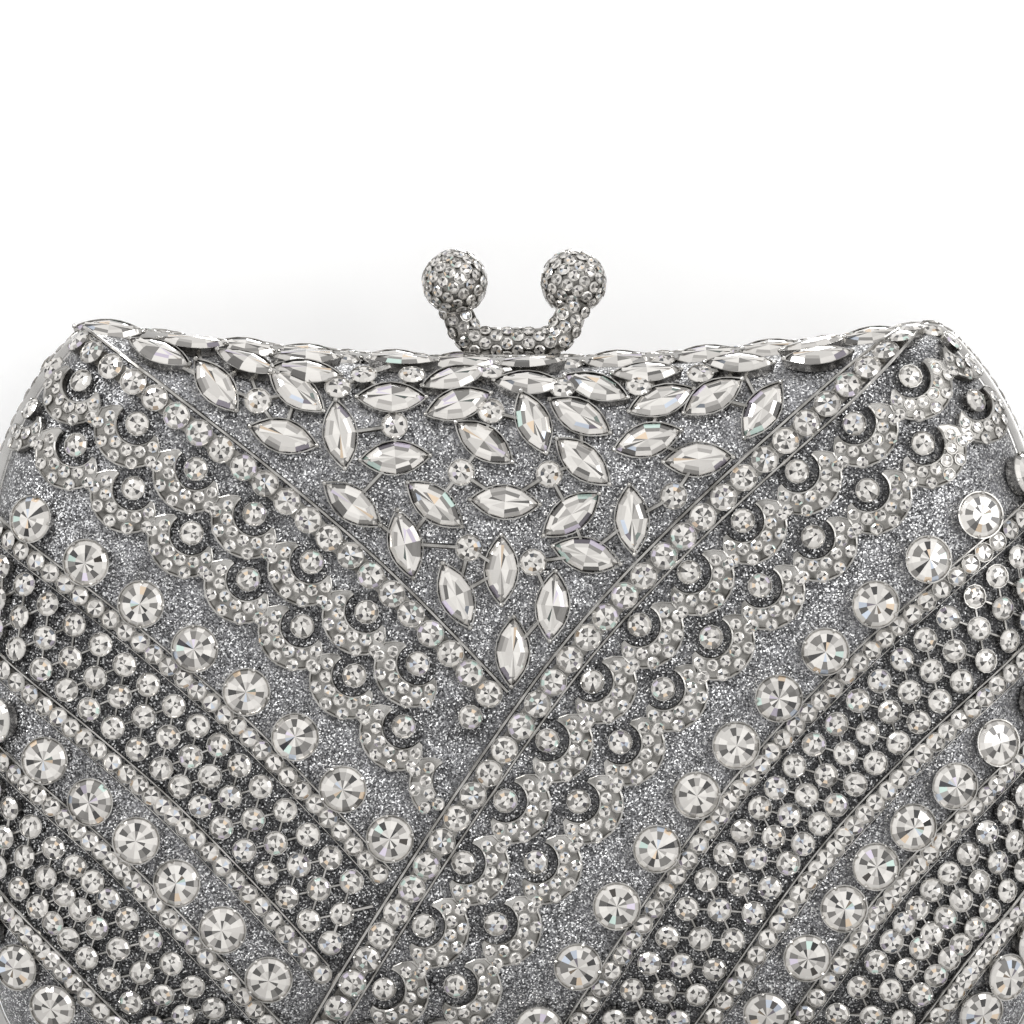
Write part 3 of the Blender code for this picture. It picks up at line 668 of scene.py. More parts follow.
# Bands: stones in a row between two wires
mainLook = {
    "step": 2.2 * mm, "half": 2.6 * mm, "plate": 0.6, "foot": 0.25 * mm, "floor": 0.9 * mm, "wireLevel": 1.6 * mm,
    "wires": ((1, 2.72 * mm, 0.4 * mm),), "pitch": 5.02 * mm, "top": 2.5 * mm, "stones": bandStones, "reach": 2.3 * mm,
    "lift": 0.1 * mm, "tilt": 0.07,
}
crossLook = dict(mainLook, wires=((1, 2.72 * mm, 0.4 * mm), (-1, 2.68 * mm, 0.32 * mm)))
thinLook = dict(
    mainLook, step=3.0 * mm, half=2.05 * mm, floor=0.8 * mm, wireLevel=1.35 * mm, pitch=3.66 * mm, top=1.9 * mm,
    wires=((1, 2.0 * mm, 0.27 * mm), (-1, 1.9 * mm, 0.14 * mm)), stones=thinStones, reach=1.6 * mm,
)


def band(line, distance, look, room):
    def hasRoom(point, plan):
        return fits(point, plan, look["half"], room, look["top"])

    shape = newShape()
    edges = ((0, -look["half"]), (0, look["half"]))
    places = [(seat(*point), 1) for point in stations(line, look["step"], 0, distance) if hasRoom(point, edges)]
    half, foot, floor = look["half"] * look["plate"], look["foot"], look["floor"]
    addSweep(shape, places, [(-half, foot), (half, foot), (half, floor), (-half, floor)], shadedBedSlot)
    towardsV = 1 if line is leftLine else -1
    for side, place, radius in look["wires"]:
        addSweep(shape, places, wireSection(side * towardsV * place, look["wireLevel"], radius))
    plan = circle(6, look["reach"])
    for point in stations(line, look["pitch"], look["pitch"] / 2, distance):
        if hasRoom(point, plan):
            put(shape, look["stones"], seat(*point), look["lift"], look["tilt"])
    return shape


crossRoom = mainLook["half"] + bag["gap"]
finish("mainBandRight", band(rightLine, 0, crossLook, None), ["main_band_right"])
finish("mainBandLeft", band(leftLine, 0, mainLook, crossRoom), ["main_band_left"])
print("main bands set")

# Each side's rows, as distances from the main band, and where the stones start along it
rows = {
    "left": {
        "line": leftLine, "room": crossRoom, "bands": (36.40, 56.15, 69.61, 90.35),
        "chatonStarts": (9.0, 9.0, 13.2, 13.2), "crescents": (5.4, 15.2), "hollowStarts": (14.2, 7.3),
    },
    "right": {
        "line": rightLine, "room": None, "bands": (38.41, 58.36, 71.83, 91.85),
        "chatonStarts": (10.4, 10.4, 10.8, 10.8), "crescents": (5.4, 16.2), "hollowStarts": (4.0, 10.0),
    },
}
chatonRow = {
    "offset": 5.7 * mm, "pitch": 13.3 * mm, "sides": (-1, 0, -1, 1), "radius": 4.15 * mm, "height": 2.9 * mm,
    "tilt": 0.1,
}
for side, row in rows.items():
    for number, (distance, cupSide) in enumerate(zip(row["bands"], chatonRow["sides"])):
        shape = band(row["line"], distance * mm, thinLook, row["room"])
        cupDistance = distance * mm + cupSide * chatonRow["offset"]
        cupStart = row["chatonStarts"][number] * mm
        for point in stations(row["line"], chatonRow["pitch"], cupStart, cupDistance) if cupSide else ():
            if roundFits(point, chatonRow["radius"], row["room"], chatonRow["height"], start=math.pi / 6):
                put(shape, chatons, seat(*point), 0, chatonRow["tilt"])
        finish(f"thinBand{side.title()}{number + 1}", shape, [f"thin_band_{side}_{number + 1}"])
print("thin bands set")

# Lattices: three staggered rows of cups between two thin bands, on crossing bars
lattice = {
    "rise": 5.1 * mm, "pitch": 6.3 * mm, "bar": 0.42 * mm, "barLevel": 0.95 * mm, "barRoom": 1.0 * mm, "cup": 1.9 * mm,
    "height": 1.9 * mm, "lift": 0.1 * mm, "tilt": 0.12,
}


def latticeShape(line, distance, room):
    def swung(station, swing, reach, sides):
        # a place to one side of a station, if there is room for it
        across, up, turn = station
        away = awayFromV(turn) * swing * lattice["rise"]
        place = (across + away.x, up + away.y)
        return [place] if roundFits(place, reach, room, lattice["height"], sides) else []

    shape = newShape()
    middle = stations(line, lattice["pitch"] / 2, 0, distance)
    for phase in (1, -1):
        path = []
        for index, station in enumerate(middle):
            path += swung(station, (0, 1, 0, -1)[index % 4] * phase, lattice["barRoom"], 4)
        places = []
        for before, here, after in zip(path[:1] + path, path, path[1:] + path[-1:]):
            places.append((seat(*here, math.atan2(after[1] - before[1], after[0] - before[0])), 1))
        addSweep(shape, places, wireSection(0, lattice["barLevel"], lattice["bar"]))
    for index, station in enumerate(middle):
        for swing in ((0,), (-1, 1))[index % 2]:
            for place in swung(station, swing, lattice["cup"], 6):
                put(shape, latticeStones, seat(*place), lattice["lift"], lattice["tilt"])
    return shape


for side, row in rows.items():
    for number, first in enumerate((0, 2), start=1):
        distance = (row["bands"][first] + row["bands"][first + 1]) / 2 * mm
        shape = latticeShape(row["line"], distance, row["room"])
        finish(f"lattice{side.title()}{number}", shape, [f"lattice_{side}_{number}"])
print("lattices set")

# Scallops: pointed crescents round a small cup, their plates set with pavé
crescent = {
    "pitch": 13.5 * mm, "inner": 3.85 * mm, "width": 4.5 * mm, "endShare": 0.6, "from": -92, "to": 100, "steps": 16,
    "least": 5, "pointShare": 0.12, "pointWidth": 0.1, "pointCurve": 0.7, "foot": 0.2 * mm, "shoulder": 0.75,
    "height": 1.5 * mm, "top": 1.9 * mm, "tipSteps": 4, "tipSize": (1.05, 1.06), "rimPlace": 0.47, "rimLevel": 0.97,
    "wire": 0.26 * mm, "cup": 1.6 * mm, "cupTop": 2.4 * mm, "tilt": 0.1, "paveAngles": range(-70, 75, 14),
    "paveRadii": (5.1 * mm, 7.2 * mm), "paveRoom": 1.0 * mm, "paveTop": 2.0 * mm, "paveSink": 0.12 * mm,
}


def crescentWidth(share):
    full = crescent["endShare"] + (1 - crescent["endShare"]) * math.sin(math.pi * share)
    point = min(1.0, share / crescent["pointShare"], (1 - share) / crescent["pointShare"])
    return crescent["width"] * full * max(crescent["pointWidth"], point) ** crescent["pointCurve"]


def holdsCup(place, room):
    return roundFits(place, crescent["cup"], room, crescent["cupTop"])


def crescentShape(line, start, distance, room):
    shape = newShape()
    foot, height = crescent["foot"], crescent["height"]
    slope = crescent["shoulder"] * height
    plate = [(-0.5, foot), (0.5, foot), (0.5, slope), (0.38, height), (-0.38, height), (-0.5, slope)]
    wider, higher = crescent["tipSize"]
    tip = [(side * wider, level * higher) for side, level in plate]
    for across, up, turn in stations(line, crescent["pitch"], start, distance):
        away = awayFromV(turn)
        awayAngle = math.atan2(away.y, away.x)
        hand = 1 if away.x < 0 else -1
        if holdsCup((across, up), room):
            put(shape, latticeStones, seat(across, up), 0, crescent["tilt"])

        def spot(degrees, reach):
            angle = awayAngle - hand * math.radians(degrees)
            return across + reach * math.cos(angle), up + reach * math.sin(angle), angle + math.pi / 2

        body = []
        for step in range(crescent["steps"] + 1):
            share = step / crescent["steps"]
            width = crescentWidth(share)
            degrees = crescent["from"] + share * (crescent["to"] - crescent["from"])
            place = spot(degrees, crescent["inner"] + width / 2)
            if fits(place, ((0, -width / 2), (0, width / 2)), width / 2, room, crescent["top"]):
                body.append((seat(*place), width))
            elif body:
                break
        if len(body) < crescent["least"]:
            continue
        addSweep(shape, body, plate, shadedBedSlot)
        for end in (body[:crescent["tipSteps"]], body[-crescent["tipSteps"]:]):
            addSweep(shape, end, tip)
        for side in (-crescent["rimPlace"], crescent["rimPlace"]):
            rim = [(place @ Matrix.Translation((0, side * width, 0)), 1) for place, width in body]
            addSweep(shape, rim, wireSection(0, crescent["rimLevel"] * height, crescent["wire"], 5))
        for index, degrees in enumerate(crescent["paveAngles"]):
            place = spot(degrees, crescent["paveRadii"][index % 2])
            if roundFits(place, crescent["paveRoom"], room, crescent["paveTop"]):
                put(shape, paveStones, seat(*place), height - crescent["paveSink"], crescent["tilt"])
    return shape


for side, row in rows.items():
    for number, (distance, start) in enumerate(zip(row["crescents"], row["hollowStarts"]), start=1):
        shape = crescentShape(row["line"], start * mm, distance * mm, row["room"])
        finish(f"scallops{side.title()}{number}", shape, [f"scallops_{side}_{number}"])
print("scallops set")

# Cluster: middle of each pointed stone in shares of the half width and the height, and its turn in degrees
pointedPlaces = (
    (-0.004, 0.563, 88), (0.070, 0.625, 85), (-0.106, 0.640, -67), (-0.023, 0.674, 90), (0.134, 0.695, -15),
    (-0.200, 0.710, -77), (0.217, 0.742, -86), (0.105, 0.749, 37), (-0.017, 0.766, -4), (-0.146, 0.763, -39),
    (-0.299, 0.763, -37), (-0.220, 0.825, 4), (-0.056, 0.845, -36), (0.127, 0.820, -41), (0.247, 0.849, 16),
    (0.339, 0.824, 4), (-0.427, 0.854, -16), (-0.322, 0.857, -82), (0.035, 0.872, -69), (0.122, 0.881, -30),
    (0.459, 0.888, 58), (-0.105, 0.897, 21), (-0.230, 0.905, 2), (0.274, 0.901, 21), (0.370, 0.906, 33),
    (-0.405, 0.913, -40), (-0.554, 0.921, -54), (0.154, 0.922, -25), (0.026, 0.929, -3), (-0.115, 0.938, 25),
    (-0.394, 0.942, -5), (0.253, 0.946, 5), (0.430, 0.957, -4), (0.575, 0.963, 11), (-0.506, 0.954, -30),
    (-0.669, 0.968, -31), (-0.407, 0.974, 0), (0.032, 0.979, 0), (-0.626, 0.990, -3), (-0.224, 0.983, -5),
    (0.181, 0.987, 5), (0.380, 0.990, 15), (0.585, 0.991, 22),
)
roundPlaces = (
    (0.035, 0.685), (-0.083, 0.704), (0.295, 0.774), (0.064, 0.804), (-0.098, 0.806), (-0.221, 0.868), (-0.043, 0.887),
    (-0.475, 0.901), (0.092, 0.921), (0.235, 0.923), (-0.330, 0.919), (-0.196, 0.942), (-0.286, 0.940), (0.352, 0.940),
    (-0.045, 0.951),
)
pointed = {
    "length": 12.9 * mm, "width": 6.4 * mm, "rim": 1.75 * mm, "height": 2.9 * mm, "cupSides": 22,
    "cupFoot": (0.97, 0.95), "flare": 1 / 0.93, "wall": 0.94, "lip": 0.99, "drop": 0.45 * mm, "tip": 0.5 * mm,
    "tipPlace": 0.49, "stoneSides": 12, "stoneSize": (0.93, 0.92), "stoneSink": 0.2 * mm, "crown": 0.13,
    "crownRise": 0.6, "kites": 0.11, "kiteRise": 0.2, "tableRise": 0.2,
}
cluster = {
    "plan": ((6.2 * mm, 0), (2.852 * mm, 3.1 * mm)), "top": 2.88 * mm, "roundRoom": 2.5 * mm, "roundTilt": 0.05,
    "tilts": (0.07, 0.05), "lift": 0.07 * mm, "lifts": 4, "stemReach": 13 * mm, "stemStops": (0.15, 0.5, 0.85),
    "stemLevel": 1.3 * mm, "stem": 0.5 * mm,
}


def pointedOval(shape, sides, shares, capped):
    # a circle of radius 1, turned into a pointed oval
    verts = bmesh.ops.create_circle(shape, cap_ends=capped, segments=sides, radius=1)["verts"]
    for vert in verts:
        rise = pointed["width"] * shares[1] / 2 * (1 - vert.co.x**2)
        vert.co.y = math.copysign(rise, vert.co.y) if abs(vert.co.y) > 1e-5 else 0
        vert.co.x *= pointed["length"] * shares[0] / 2
    return verts


def pointedSetting(name):
    shape = newShape()
    pointedOval(shape, pointed["cupSides"], pointed["cupFoot"], False)
    edges = list(shape.edges)
    for share, rise in ((pointed["flare"], pointed["rim"]), (pointed["wall"], 0.0), (pointed["lip"], -pointed["drop"])):
        edges = onRing(shape, edges, share, rise)
    bmesh.ops.recalc_face_normals(shape, faces=shape.faces)
    for end in (-1, 1):
        spot = Matrix.Translation((end * pointed["length"] * pointed["tipPlace"], 0, pointed["rim"]))
        bmesh.ops.create_icosphere(shape, subdivisions=2, radius=pointed["tip"], matrix=spot)
    known = set(shape.faces)
    made = pointedOval(shape, pointed["stoneSides"], pointed["stoneSize"], True)
    bmesh.ops.translate(shape, vec=(0, 0, pointed["rim"] - pointed["stoneSink"]), verts=made)
    top = upFace(shape, known)
    rise = pointed["height"] - pointed["rim"]
    # the pointed stone's facets get painted reflection tones
    rings = [
        (pointed["width"] * pointed["crown"], rise * pointed["crownRise"], (clear, dusky)),
        (pointed["width"] * pointed["kites"], rise * pointed["kiteRise"], (dusky, clear, lively)),
    ]
    facets(shape, top, rings, (clear, lively, dusky, clear, clear), rise * pointed["tableRise"])
    return asMesh(name, shape)


pointedStones = [pointedSetting(f"pointedStone{index}") for index in range(8)]


def inPattern(x, z, turn=0.0):
    return seat(x * bag["halfWidth"], z * bag["outlineHeight"] + bag["base"], turn)


def clusterShape():
    shape = newShape()
    plan = [(end * x, side * y) for end in (-1, 1) for x, y in cluster["plan"] for side in (-1, 1)]
    places = []
    for x, z, degrees in pointedPlaces:
        place = inPattern(x, z, math.radians(degrees))
        if clearOfEdge(place, plan, cluster["top"]):
            places.append(place)
            flip = Matrix.Rotation(math.pi * chance.randint(0, 1), 4, "Z")
            lean = leaning(*cluster["tilts"])
            lift = Matrix.Translation((0, 0, cluster["lift"] * (len(places) % cluster["lifts"])))
            add(shape, chance.choice(pointedStones), place @ lift @ lean @ flip)
    for x, z in roundPlaces:
        place = inPattern(x, z)
        if clearOfEdge(place, circle(6, cluster["roundRoom"]), cluster["roundRoom"]):
            places.append(place)
            put(shape, clusterRounds, place, 0, cluster["roundTilt"])
    # stems from each setting to its two nearest neighbours
    drawn = set()
    for index, place in enumerate(places):
        order = sorted(range(len(places)), key=lambda other: (places[other].translation - place.translation).length)
        for other in order[1:3]:
            pair = (min(index, other), max(index, other))
            run = places[other].translation - place.translation
            if pair in drawn or run.length > cluster["stemReach"]:
                continue
            drawn.add(pair)
            out = (place.col[2] + places[other].col[2]).to_3d().normalized()
            axes = axesOf(run.normalized(), out)
            stops = [(Matrix.Translation(place.translation + run * share) @ axes, 1) for share in cluster["stemStops"]]
            addSweep(shape, stops, wireSection(0, cluster["stemLevel"], cluster["stem"]))
    return shape


finish("marquiseCluster", clusterShape(), ["marquise_cluster"])
print("cluster set")

# Border rail: a row of small stones round the sides and the top
rail = {
    "finer": 12, "out": 1.85 * mm, "depth": 8.55 * mm, "pitch": 2.62 * mm, "lowest": -0.35, "paveSink": -0.1 * mm,
    "tilt": 0.1, "topShare": 0.9, "sink": -0.4 * mm, "lean": (0, -0.6, 0.8), "span": 3 * mm,
    "pointed": (-74.5, -49.5, -38.0, -21.8, -9.4, 19.0, 35.4, 47.0, 65.8),
    "rounds": (-84.0, -62.5, -30.7, 10.3, 27.4, 57.0, 76.5),
}


def railShape():
    shape = newShape()
    loop = movedIn(outline(rail["finer"]), -rail["out"])
    closed = np.vstack([loop, loop[:1]])
    lengths = runsAlong(closed)
    count = int(lengths[-1] / rail["pitch"])
    marks = np.arange(count) * lengths[-1] / count
    x, z = np.interp(marks, lengths, closed[:, 0]), np.interp(marks, lengths, closed[:, 1])
    along = np.stack([np.roll(x, -1) - np.roll(x, 1), np.roll(z, -1) - np.roll(z, 1)], axis=1)
    for spotX, spotZ, (runX, runZ) in zip(x, z, along):
        out = Vector((runZ, 0, -runX)).normalized()
        if out.z > rail["lowest"]:
            place = Matrix.Translation((spotX, -rail["depth"], spotZ)) @ facing(out, "Y")
            put(shape, paveStones, place, rail["paveSink"], rail["tilt"])
    # larger settings along the top, leaning forwards over the panel's edge
    upper = sorted((x, z) for x, z in outline(rail["finer"]) if z > rail["topShare"] * bag["outlineHeight"])
    edgeX, edgeZ = np.array(upper).T
    out = Vector(rail["lean"])
    for name, kinds in (("pointed", pointedStones), ("rounds", clusterRounds)):
        for across in rail[name]:
            low, here, high = np.interp(across * mm + np.array((-1, 0, 1)) * rail["span"], edgeX, edgeZ)
            along = Vector((2 * rail["span"], 0, high - low)).normalized()
            axes = axesOf(along, along.cross(out.cross(along).normalized()))
            middle = Matrix.Translation((across * mm, -rail["depth"], here + rail["sink"]))
            add(shape, chance.choice(kinds), middle @ axes)
    return shape


finish("railStones", railShape(), [])
print("rail set")

# Panels and linings
dish = {
    "finer": 9, "rings": 46, "innerRings": 12, "reach": 0.985, "crowding": 1.6, "panelWall": 1.6 * mm,
    "trayRoom": 3.2 * mm, "trayInset": 3.5 * mm, "trayWall": 1.0 * mm, "trayLip": 0.6 * mm,
    # reach and soft edge of the painted shade round each scallop hollow
    "hollow": 4.3 * mm, "hollowEdge": 2.6 * mm,
}


def skin(inset, thickness, faceDepth, rings, edgeDepth=None):
    edge = movedIn(outline(dish["finer"]), inset)
    rise = faceDepth - thickness - bag["rimDepth"]
    loops = [] if edgeDepth is None else [[Vector((x, -edgeDepth, z)) for x, z in edge]]
    loops.append([Vector((x, -bag["rimDepth"], z)) for x, z in edge])
    for share in 1 - np.linspace(0.0, dish["reach"], rings)[1:] ** dish["crowding"]:
        depth = bag["rimDepth"] + rise * swell(share)
        loops.append([Vector((x, -depth, z)) for x, z in (edge - (0, middleZ)) * share + (0, middleZ)])
    return loops


# the scallops' hollows, round which the panel gets painted shade
hollows = {}
for side, row in rows.items():
    hollows[side] = []
    for distance, start in zip(row["crescents"], row["hollowStarts"]):
        for point in stations(row["line"], crescent["pitch"], start * mm, distance * mm):
            if holdsCup(point, row["room"]):
                hollows[side].append(point)


def shaded(across, up):
    # how much painted shade a place of the panel gets behind the cage: full in the lattices, fading out round the
    # scallops' hollows
    side = "left" if beyond(rightLine, across, up) < 0 else "right"
    row = rows[side]
    distance = beyond(row["line"], across, up)
    if distance < 0:
        return 0.0
    first, second, third, fourth = (place * mm for place in row["bands"])
    for low, high in ((first, second), (third, fourth)):
        if low < distance < high:
            return 1.0
    nearest = min(math.hypot(across - x, up - z) for x, z, turn in hollows[side])
    return min(1.0, max(0.0, (dish["hollow"] - nearest) / dish["hollowEdge"] + 0.5))


panelOuter = skin(0.0, 0.0, bag["halfDepth"], dish["rings"])
panelInner = skin(dish["panelWall"], dish["panelWall"], bag["halfDepth"], dish["innerRings"])
panelShape = smoothed(closedSkin(panelOuter[::-1] + panelInner))
# each panel point carries its painted shade, which darkens the glitter
paintedShade = panelShape.verts.layers.float.new("paintedShade")
for vert in panelShape.verts:
    vert[paintedShade] = shaded(*offPanel(vert.co.x, vert.co.z))
finish("panelFabric", panelShape, ["panel"], (glitter,))
liningDepth = bag["halfDepth"] - dish["trayRoom"]
liningOuter, liningInner = (
    skin(dish["trayInset"] + wall, wall, liningDepth, dish["innerRings"], dish["trayLip"])
    for wall in (0.0, dish["trayWall"])
)
liningShape = smoothed(closedSkin(liningOuter[::-1] + liningInner))
finish("liningTray", liningShape, ["lining"], (satin,))
print("panels covered")

# Kiss-lock: arms and balls packed with small stones
clasp = {
    "frameTop": bag["base"] + outlineShares[-1][-1][1] * bag["outlineHeight"], "armWidth": 5.2 * mm,
    "armDepth": 3.7 * mm, "armLift": 4.65 * mm, "armSides": 16, "halfSpan": 7.6 * mm, "flatSteps": 8,
    "bend": 4.2 * mm, "bendPlace": 1.35, "bendSteps": range(0, 67, 11), "armRise": 5.8 * mm,
    "riseSteps": (0.33, 0.66, 1.0), "middleDepth": 2.6 * mm, "rowStart": 0.3 * mm, "rowPitch": 2.0 * mm,
    "stonesRound": 6, "armSink": -0.12 * mm,
    "clearance": (0.4 * mm, 1.4 * mm), "footSize": (12.8 * mm, 3.2 * mm, 2.4 * mm), "footLift": 1.5 * mm,
    "footBevel": 0.4 * mm, "ballRadius": 5.78 * mm, "ballSide": 11 * mm, "ballLift": 16.1 * mm, "ballStones": 88,
    "ballSink": -0.1 * mm, "armTilt": 0.12, "ballTilt": 0.14,
}
ballMiddle = Vector((clasp["ballSide"], 0, clasp["frameTop"] + clasp["ballLift"]))


def armPath():
    level = clasp["frameTop"] + clasp["armLift"]
    centre = Vector((clasp["ballSide"] - clasp["bendPlace"] * clasp["bend"], level + clasp["bend"]))
    flat = np.linspace(-clasp["halfSpan"], centre.x, clasp["flatSteps"], endpoint=False)
    points = [(Vector((x, level)), 0.0) for x in flat]
    for degrees in clasp["bendSteps"]:
        angle = math.radians(degrees)
        points.append((centre + clasp["bend"] * Vector((math.sin(angle), -math.cos(angle))), angle))
    last, angle = points[-1]
    for share in clasp["riseSteps"]:
        points.append((last + share * clasp["armRise"] * Vector((math.cos(angle), math.sin(angle))), angle))
    places = []
    for spot, angle in points:
        along, out = Vector((math.cos(angle), 0, math.sin(angle))), Vector((0, -1, 0))
        places.append(Matrix.Translation((spot.x, -clasp["middleDepth"], spot.y)) @ axesOf(along, out))
    return places


def armShape():
    shape = newShape()
    path = armPath()
    oval = [(x * clasp["armWidth"], y * clasp["armDepth"]) for x, y in circle(clasp["armSides"], 0.5)]
    addSweep(shape, [(place, 1) for place in path], oval, shadedBedSlot)
    base = newShape()
    middle = Matrix.Translation((0, -clasp["middleDepth"], clasp["frameTop"] + clasp["footLift"]))
    bmesh.ops.create_cube(base, size=1, matrix=middle @ Matrix.Diagonal((*clasp["footSize"], 1)))
    bmesh.ops.bevel(
        base, geom=base.edges, offset=clasp["footBevel"], segments=3, profile=0.5, affect="EDGES", material=-1
    )
    add(shape, asMesh("foot", base), Matrix.Identity(4))
    lengths = runsAlong(np.array([place.translation for place in path]))
    ballRoom, frameRoom = clasp["clearance"]
    for row, mark in enumerate(np.arange(clasp["rowStart"], lengths[-1], clasp["rowPitch"])):
        index = min(int(np.searchsorted(lengths, mark)), len(path) - 1)
        share = (mark - lengths[index - 1]) / (lengths[index] - lengths[index - 1])
        spot = path[index - 1].lerp(path[index], share)
        for x, y in circle(clasp["stonesRound"], 0.5, math.pi / clasp["stonesRound"] * (row % 2)):
            normal = Vector((0, x / clasp["armWidth"], y / clasp["armDepth"]))
            place = spot @ Matrix.Translation((0, x * clasp["armWidth"], y * clasp["armDepth"])) @ facing(normal)
            outsideBall = (place.translation - ballMiddle).length > clasp["ballRadius"] + ballRoom
            if outsideBall and place.translation.z > clasp["frameTop"] + frameRoom:
                put(shape, paveStones, place, clasp["armSink"], clasp["armTilt"])
    return shape


def ballShape():
    shape = newShape()
    middle = Matrix.Translation(ballMiddle)
    bmesh.ops.create_uvsphere(shape, u_segments=24, v_segments=16, radius=clasp["ballRadius"], matrix=middle)
    smoothed(shape, shadedBedSlot)
    for index in range(clasp["ballStones"]):
        height = 1 - 2 * (index + 0.5) / clasp["ballStones"]
        ring, turn = math.sqrt(1 - height * height), math.pi * (3 - math.sqrt(5)) * index
        normal = Vector((ring * math.cos(turn), ring * math.sin(turn), height))
        place = Matrix.Translation(ballMiddle + normal * clasp["ballRadius"]) @ facing(normal)
        put(shape, paveStones, place, clasp["ballSink"], clasp["ballTilt"])
    return shape


finish("claspArm", armShape(), ["clasp_arm"])
finish("claspBall", ballShape(), ["clasp_ball"])
print("clasp set")

# Frames with their hinge knuckles, and border rails: smooth bands round the outline. Sections as (inset, depth) in mm
border = {
    "finer": 6,
    "frame": (
        (0.45, 0.15), (0.13, 0.28), (0.0, 0.6), (0.0, 6.55), (0.13, 6.87), (0.45, 7.0), (3.2, 7.0), (3.2, 5.8),
        (1.2, 5.8), (1.2, 0.15),
    ),
    "rail": (
        (-0.3, 7.3), (-1.5, 7.3), (-1.78, 7.42), (-1.9, 7.7), (-1.9, 9.4), (-1.78, 9.68), (-1.5, 9.8), (-0.3, 9.8),
    ),
    "sharp": math.radians(35),
}
hinge = {
    "radius": 1.7 * mm, "length": 8.0 * mm, "step": 8.6 * mm, "place": 46.0 * mm, "room": 2.05 * mm, "bore": 1.1 * mm,
    "bevel": 0.25 * mm, "sides": 28,
}


def ringShape(section):
    shape = newShape()
    loops = []
    for inset, depth in section:
        loops.append([Vector((x, -depth * mm, z)) for x, z in movedIn(outline(border["finer"]), inset * mm)])
    ends = grow(shape, loops)
    edges = [shape.edges.get((ring[index - 1], ring[index])) for ring in ends for index in range(len(ring))]
    bmesh.ops.bridge_loops(shape, edges=edges)
    bmesh.ops.recalc_face_normals(shape, faces=shape.faces)
    return shape


def barrels(places, length, radius, bevel=0.0):
    shape = newShape()
    for place in places:
        spot = Matrix.Translation((place, 0, bag["base"])) @ Matrix.Rotation(math.pi / 2, 4, "Y")
        bmesh.ops.create_cone(
            shape, cap_ends=True, segments=hinge["sides"], radius1=radius, radius2=radius, depth=length, matrix=spot
        )
    ends = {edge for face in shape.faces if len(face.verts) > 4 for edge in face.edges}
    if bevel:
        bmesh.ops.bevel(shape, geom=list(ends), offset=bevel, segments=2, profile=0.5, affect="EDGES", material=-1)
    return shape


def carved(shape, other, operation):
    # joins two closed shapes, or cuts the second out of the first
    solids = [placed("solid", asMesh("solid", solid)) for solid in (shape, other)]
    change = solids[0].modifiers.new("change", "BOOLEAN")
    change.operation, change.object, change.solver = operation, solids[1], "EXACT"
    made = bmesh.new()
    made.from_object(solids[0], bpy.context.evaluated_depsgraph_get())
    for solid in solids:
        bpy.data.objects.remove(solid)
    return made


def softened(shape):
    # smooth over gentle bends, sharp at the corners
    smoothed(shape)
    for edge in shape.edges:
        edge.smooth = edge.calc_face_angle(0.0) < border["sharp"]
    return shape


def frameShape():
    own = (-hinge["place"], hinge["place"] - hinge["step"], hinge["place"] + hinge["step"])
    others = [-place for place in own]
    shape = carved(ringShape(border["frame"]), barrels(others, hinge["step"], hinge["room"]), "DIFFERENCE")
    shape = carved(shape, barrels(own, hinge["length"], hinge["radius"], hinge["bevel"]), "UNION")
    return softened(carved(shape, barrels(own, hinge["step"], hinge["bore"]), "DIFFERENCE"))


finish("frameBand", frameShape(), ["frame"], (polished,))
finish("railBand", softened(ringShape(border["rail"])), ["border_rail"], (polished,))
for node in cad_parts.values():
    if not node.hide_render:
        node.data.materials.clear()
        node.data.materials.append(polished)
print("frames and rails made")

# Floor, backdrop and light
studio = {
    "floor": 0.93, "floorReach": 3, "wall": 0.95, "wallReach": 1.5, "wallGlow": 0.15, "wallDepth": 30 * mm,
    "roughness": 0.8, "skyLight": 0.43, "skySeen": 1.0, "lampsAim": (0, 0, 70 * mm),
    "lamps": (
        ("keyLamp", (-0.55, -0.75, 0.95), 0.35, 7.0),
        ("fillLamp", (0.8, -0.7, 0.45), 0.7, 3.2),
        ("backLamp", (0.3, 0.9, 0.8), 0.6, 6.0),
    ),
}


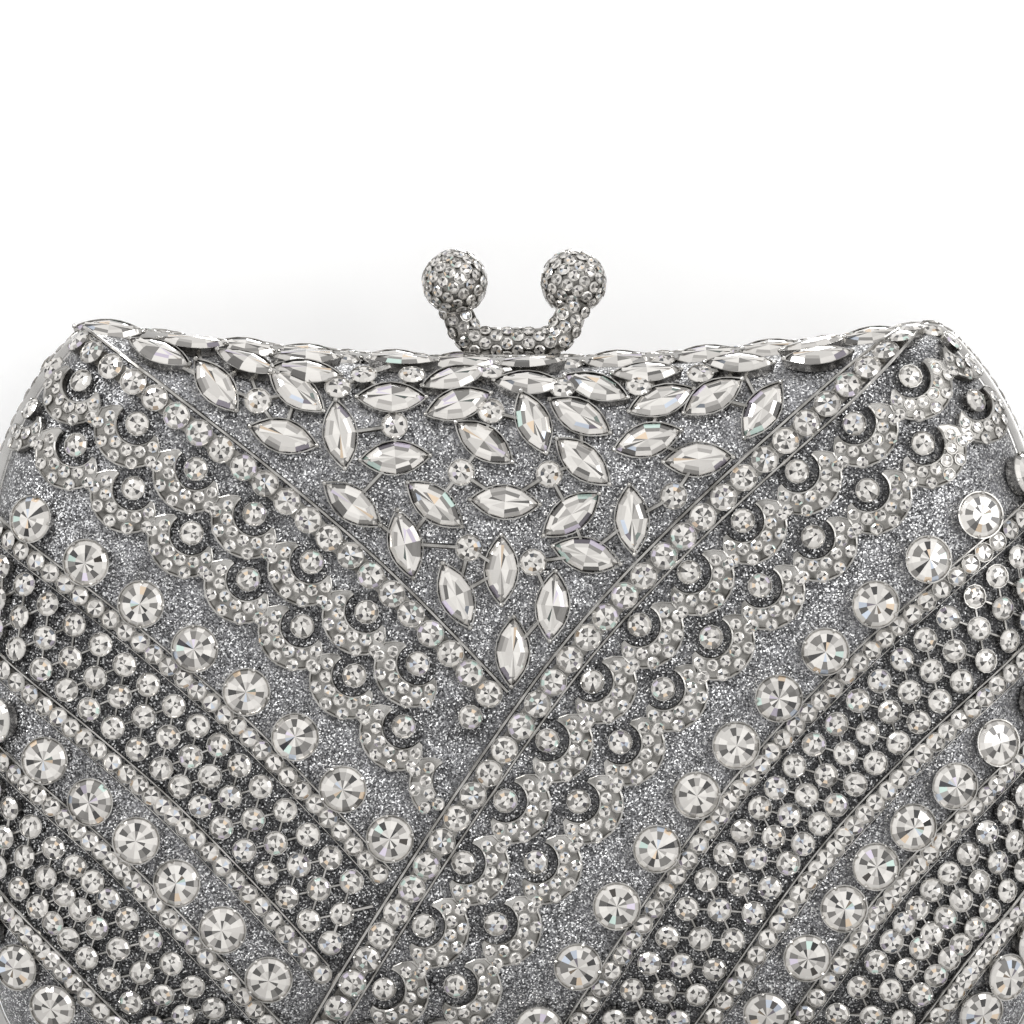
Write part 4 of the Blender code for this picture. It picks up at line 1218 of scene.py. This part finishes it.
def stagePlane(name, corners, tone):
    shape = bmesh.new()
    shape.faces.new([shape.verts.new(corner) for corner in corners])
    piece = placed(name, asMesh(name, shape))
    made, tree, shader = newMaterial(name)
    setTo(shader, {"Base Color": (tone, tone, tone, 1), "Roughness": studio["roughness"]})
    piece.data.materials.append(made)
    return tree, shader


square = ((-1, -1), (1, -1), (1, 1), (-1, 1))
floorCorners = [(x * studio["floorReach"], y * studio["floorReach"], 0) for x, y in square]
wallCorners = [(x * studio["wallReach"], studio["wallDepth"], max(z, 0) * studio["wallReach"]) for x, z in square]
stagePlane("paleFloor", floorCorners, studio["floor"])
tree, shader = stagePlane("paleWall", wallCorners, studio["wall"])
setTo(shader, {"Specular IOR Level": 0, "Emission Color": (1, 1, 1, 1), "Emission Strength": studio["wallGlow"]})
rays, face, front, seen, seeThrough, mix = nodesOf(
    tree, "LightPath", "NewGeometry", "Math", "Math", "BsdfTransparent", "MixShader"
)
front.operation, seen.operation = "SUBTRACT", "MULTIPLY"
setTo(front, {0: 1})
wired(
    tree, (face, "Backfacing", front, 1), (rays, "Is Camera Ray", seen, 0), (front, 0, seen, 1), (seen, 0, mix, "Fac"),
    (seeThrough, 0, mix, 1), (shader, 0, mix, 2), (mix, 0, tree.nodes["Material Output"], "Surface"),
)

world = bpy.data.worlds.new("studio")
bpy.context.scene.world = world
world.use_nodes = True
tree = world.node_tree
background = tree.nodes["Background"]
rays, mirrored, seen, strength = nodesOf(tree, "LightPath", "Math", "Math", "MapRange")
mirrored.operation = seen.operation = "MAXIMUM"
setTo(background, {"Color": (1, 1, 1, 1)})
setTo(strength, {"To Min": studio["skyLight"], "To Max": studio["skySeen"]})
wired(
    tree, (rays, "Is Glossy Ray", mirrored, 0), (rays, "Is Transmission Ray", mirrored, 1),
    (rays, "Is Camera Ray", seen, 0), (mirrored, 0, seen, 1), (seen, 0, strength, "Value"),
    (strength, "Result", background, "Strength"),
)

for name, place, size, power in studio["lamps"]:
    lamp = bpy.data.lights.new(name, "AREA")
    lamp.size, lamp.energy = size, power
    made = placed(name, lamp)
    made.location = place
    made.rotation_euler = (Vector(studio["lampsAim"]) - Vector(place)).to_track_quat("-Z", "Y").to_euler()
bpy.context.scene.view_settings.view_transform = "Standard"
print("studio lit")
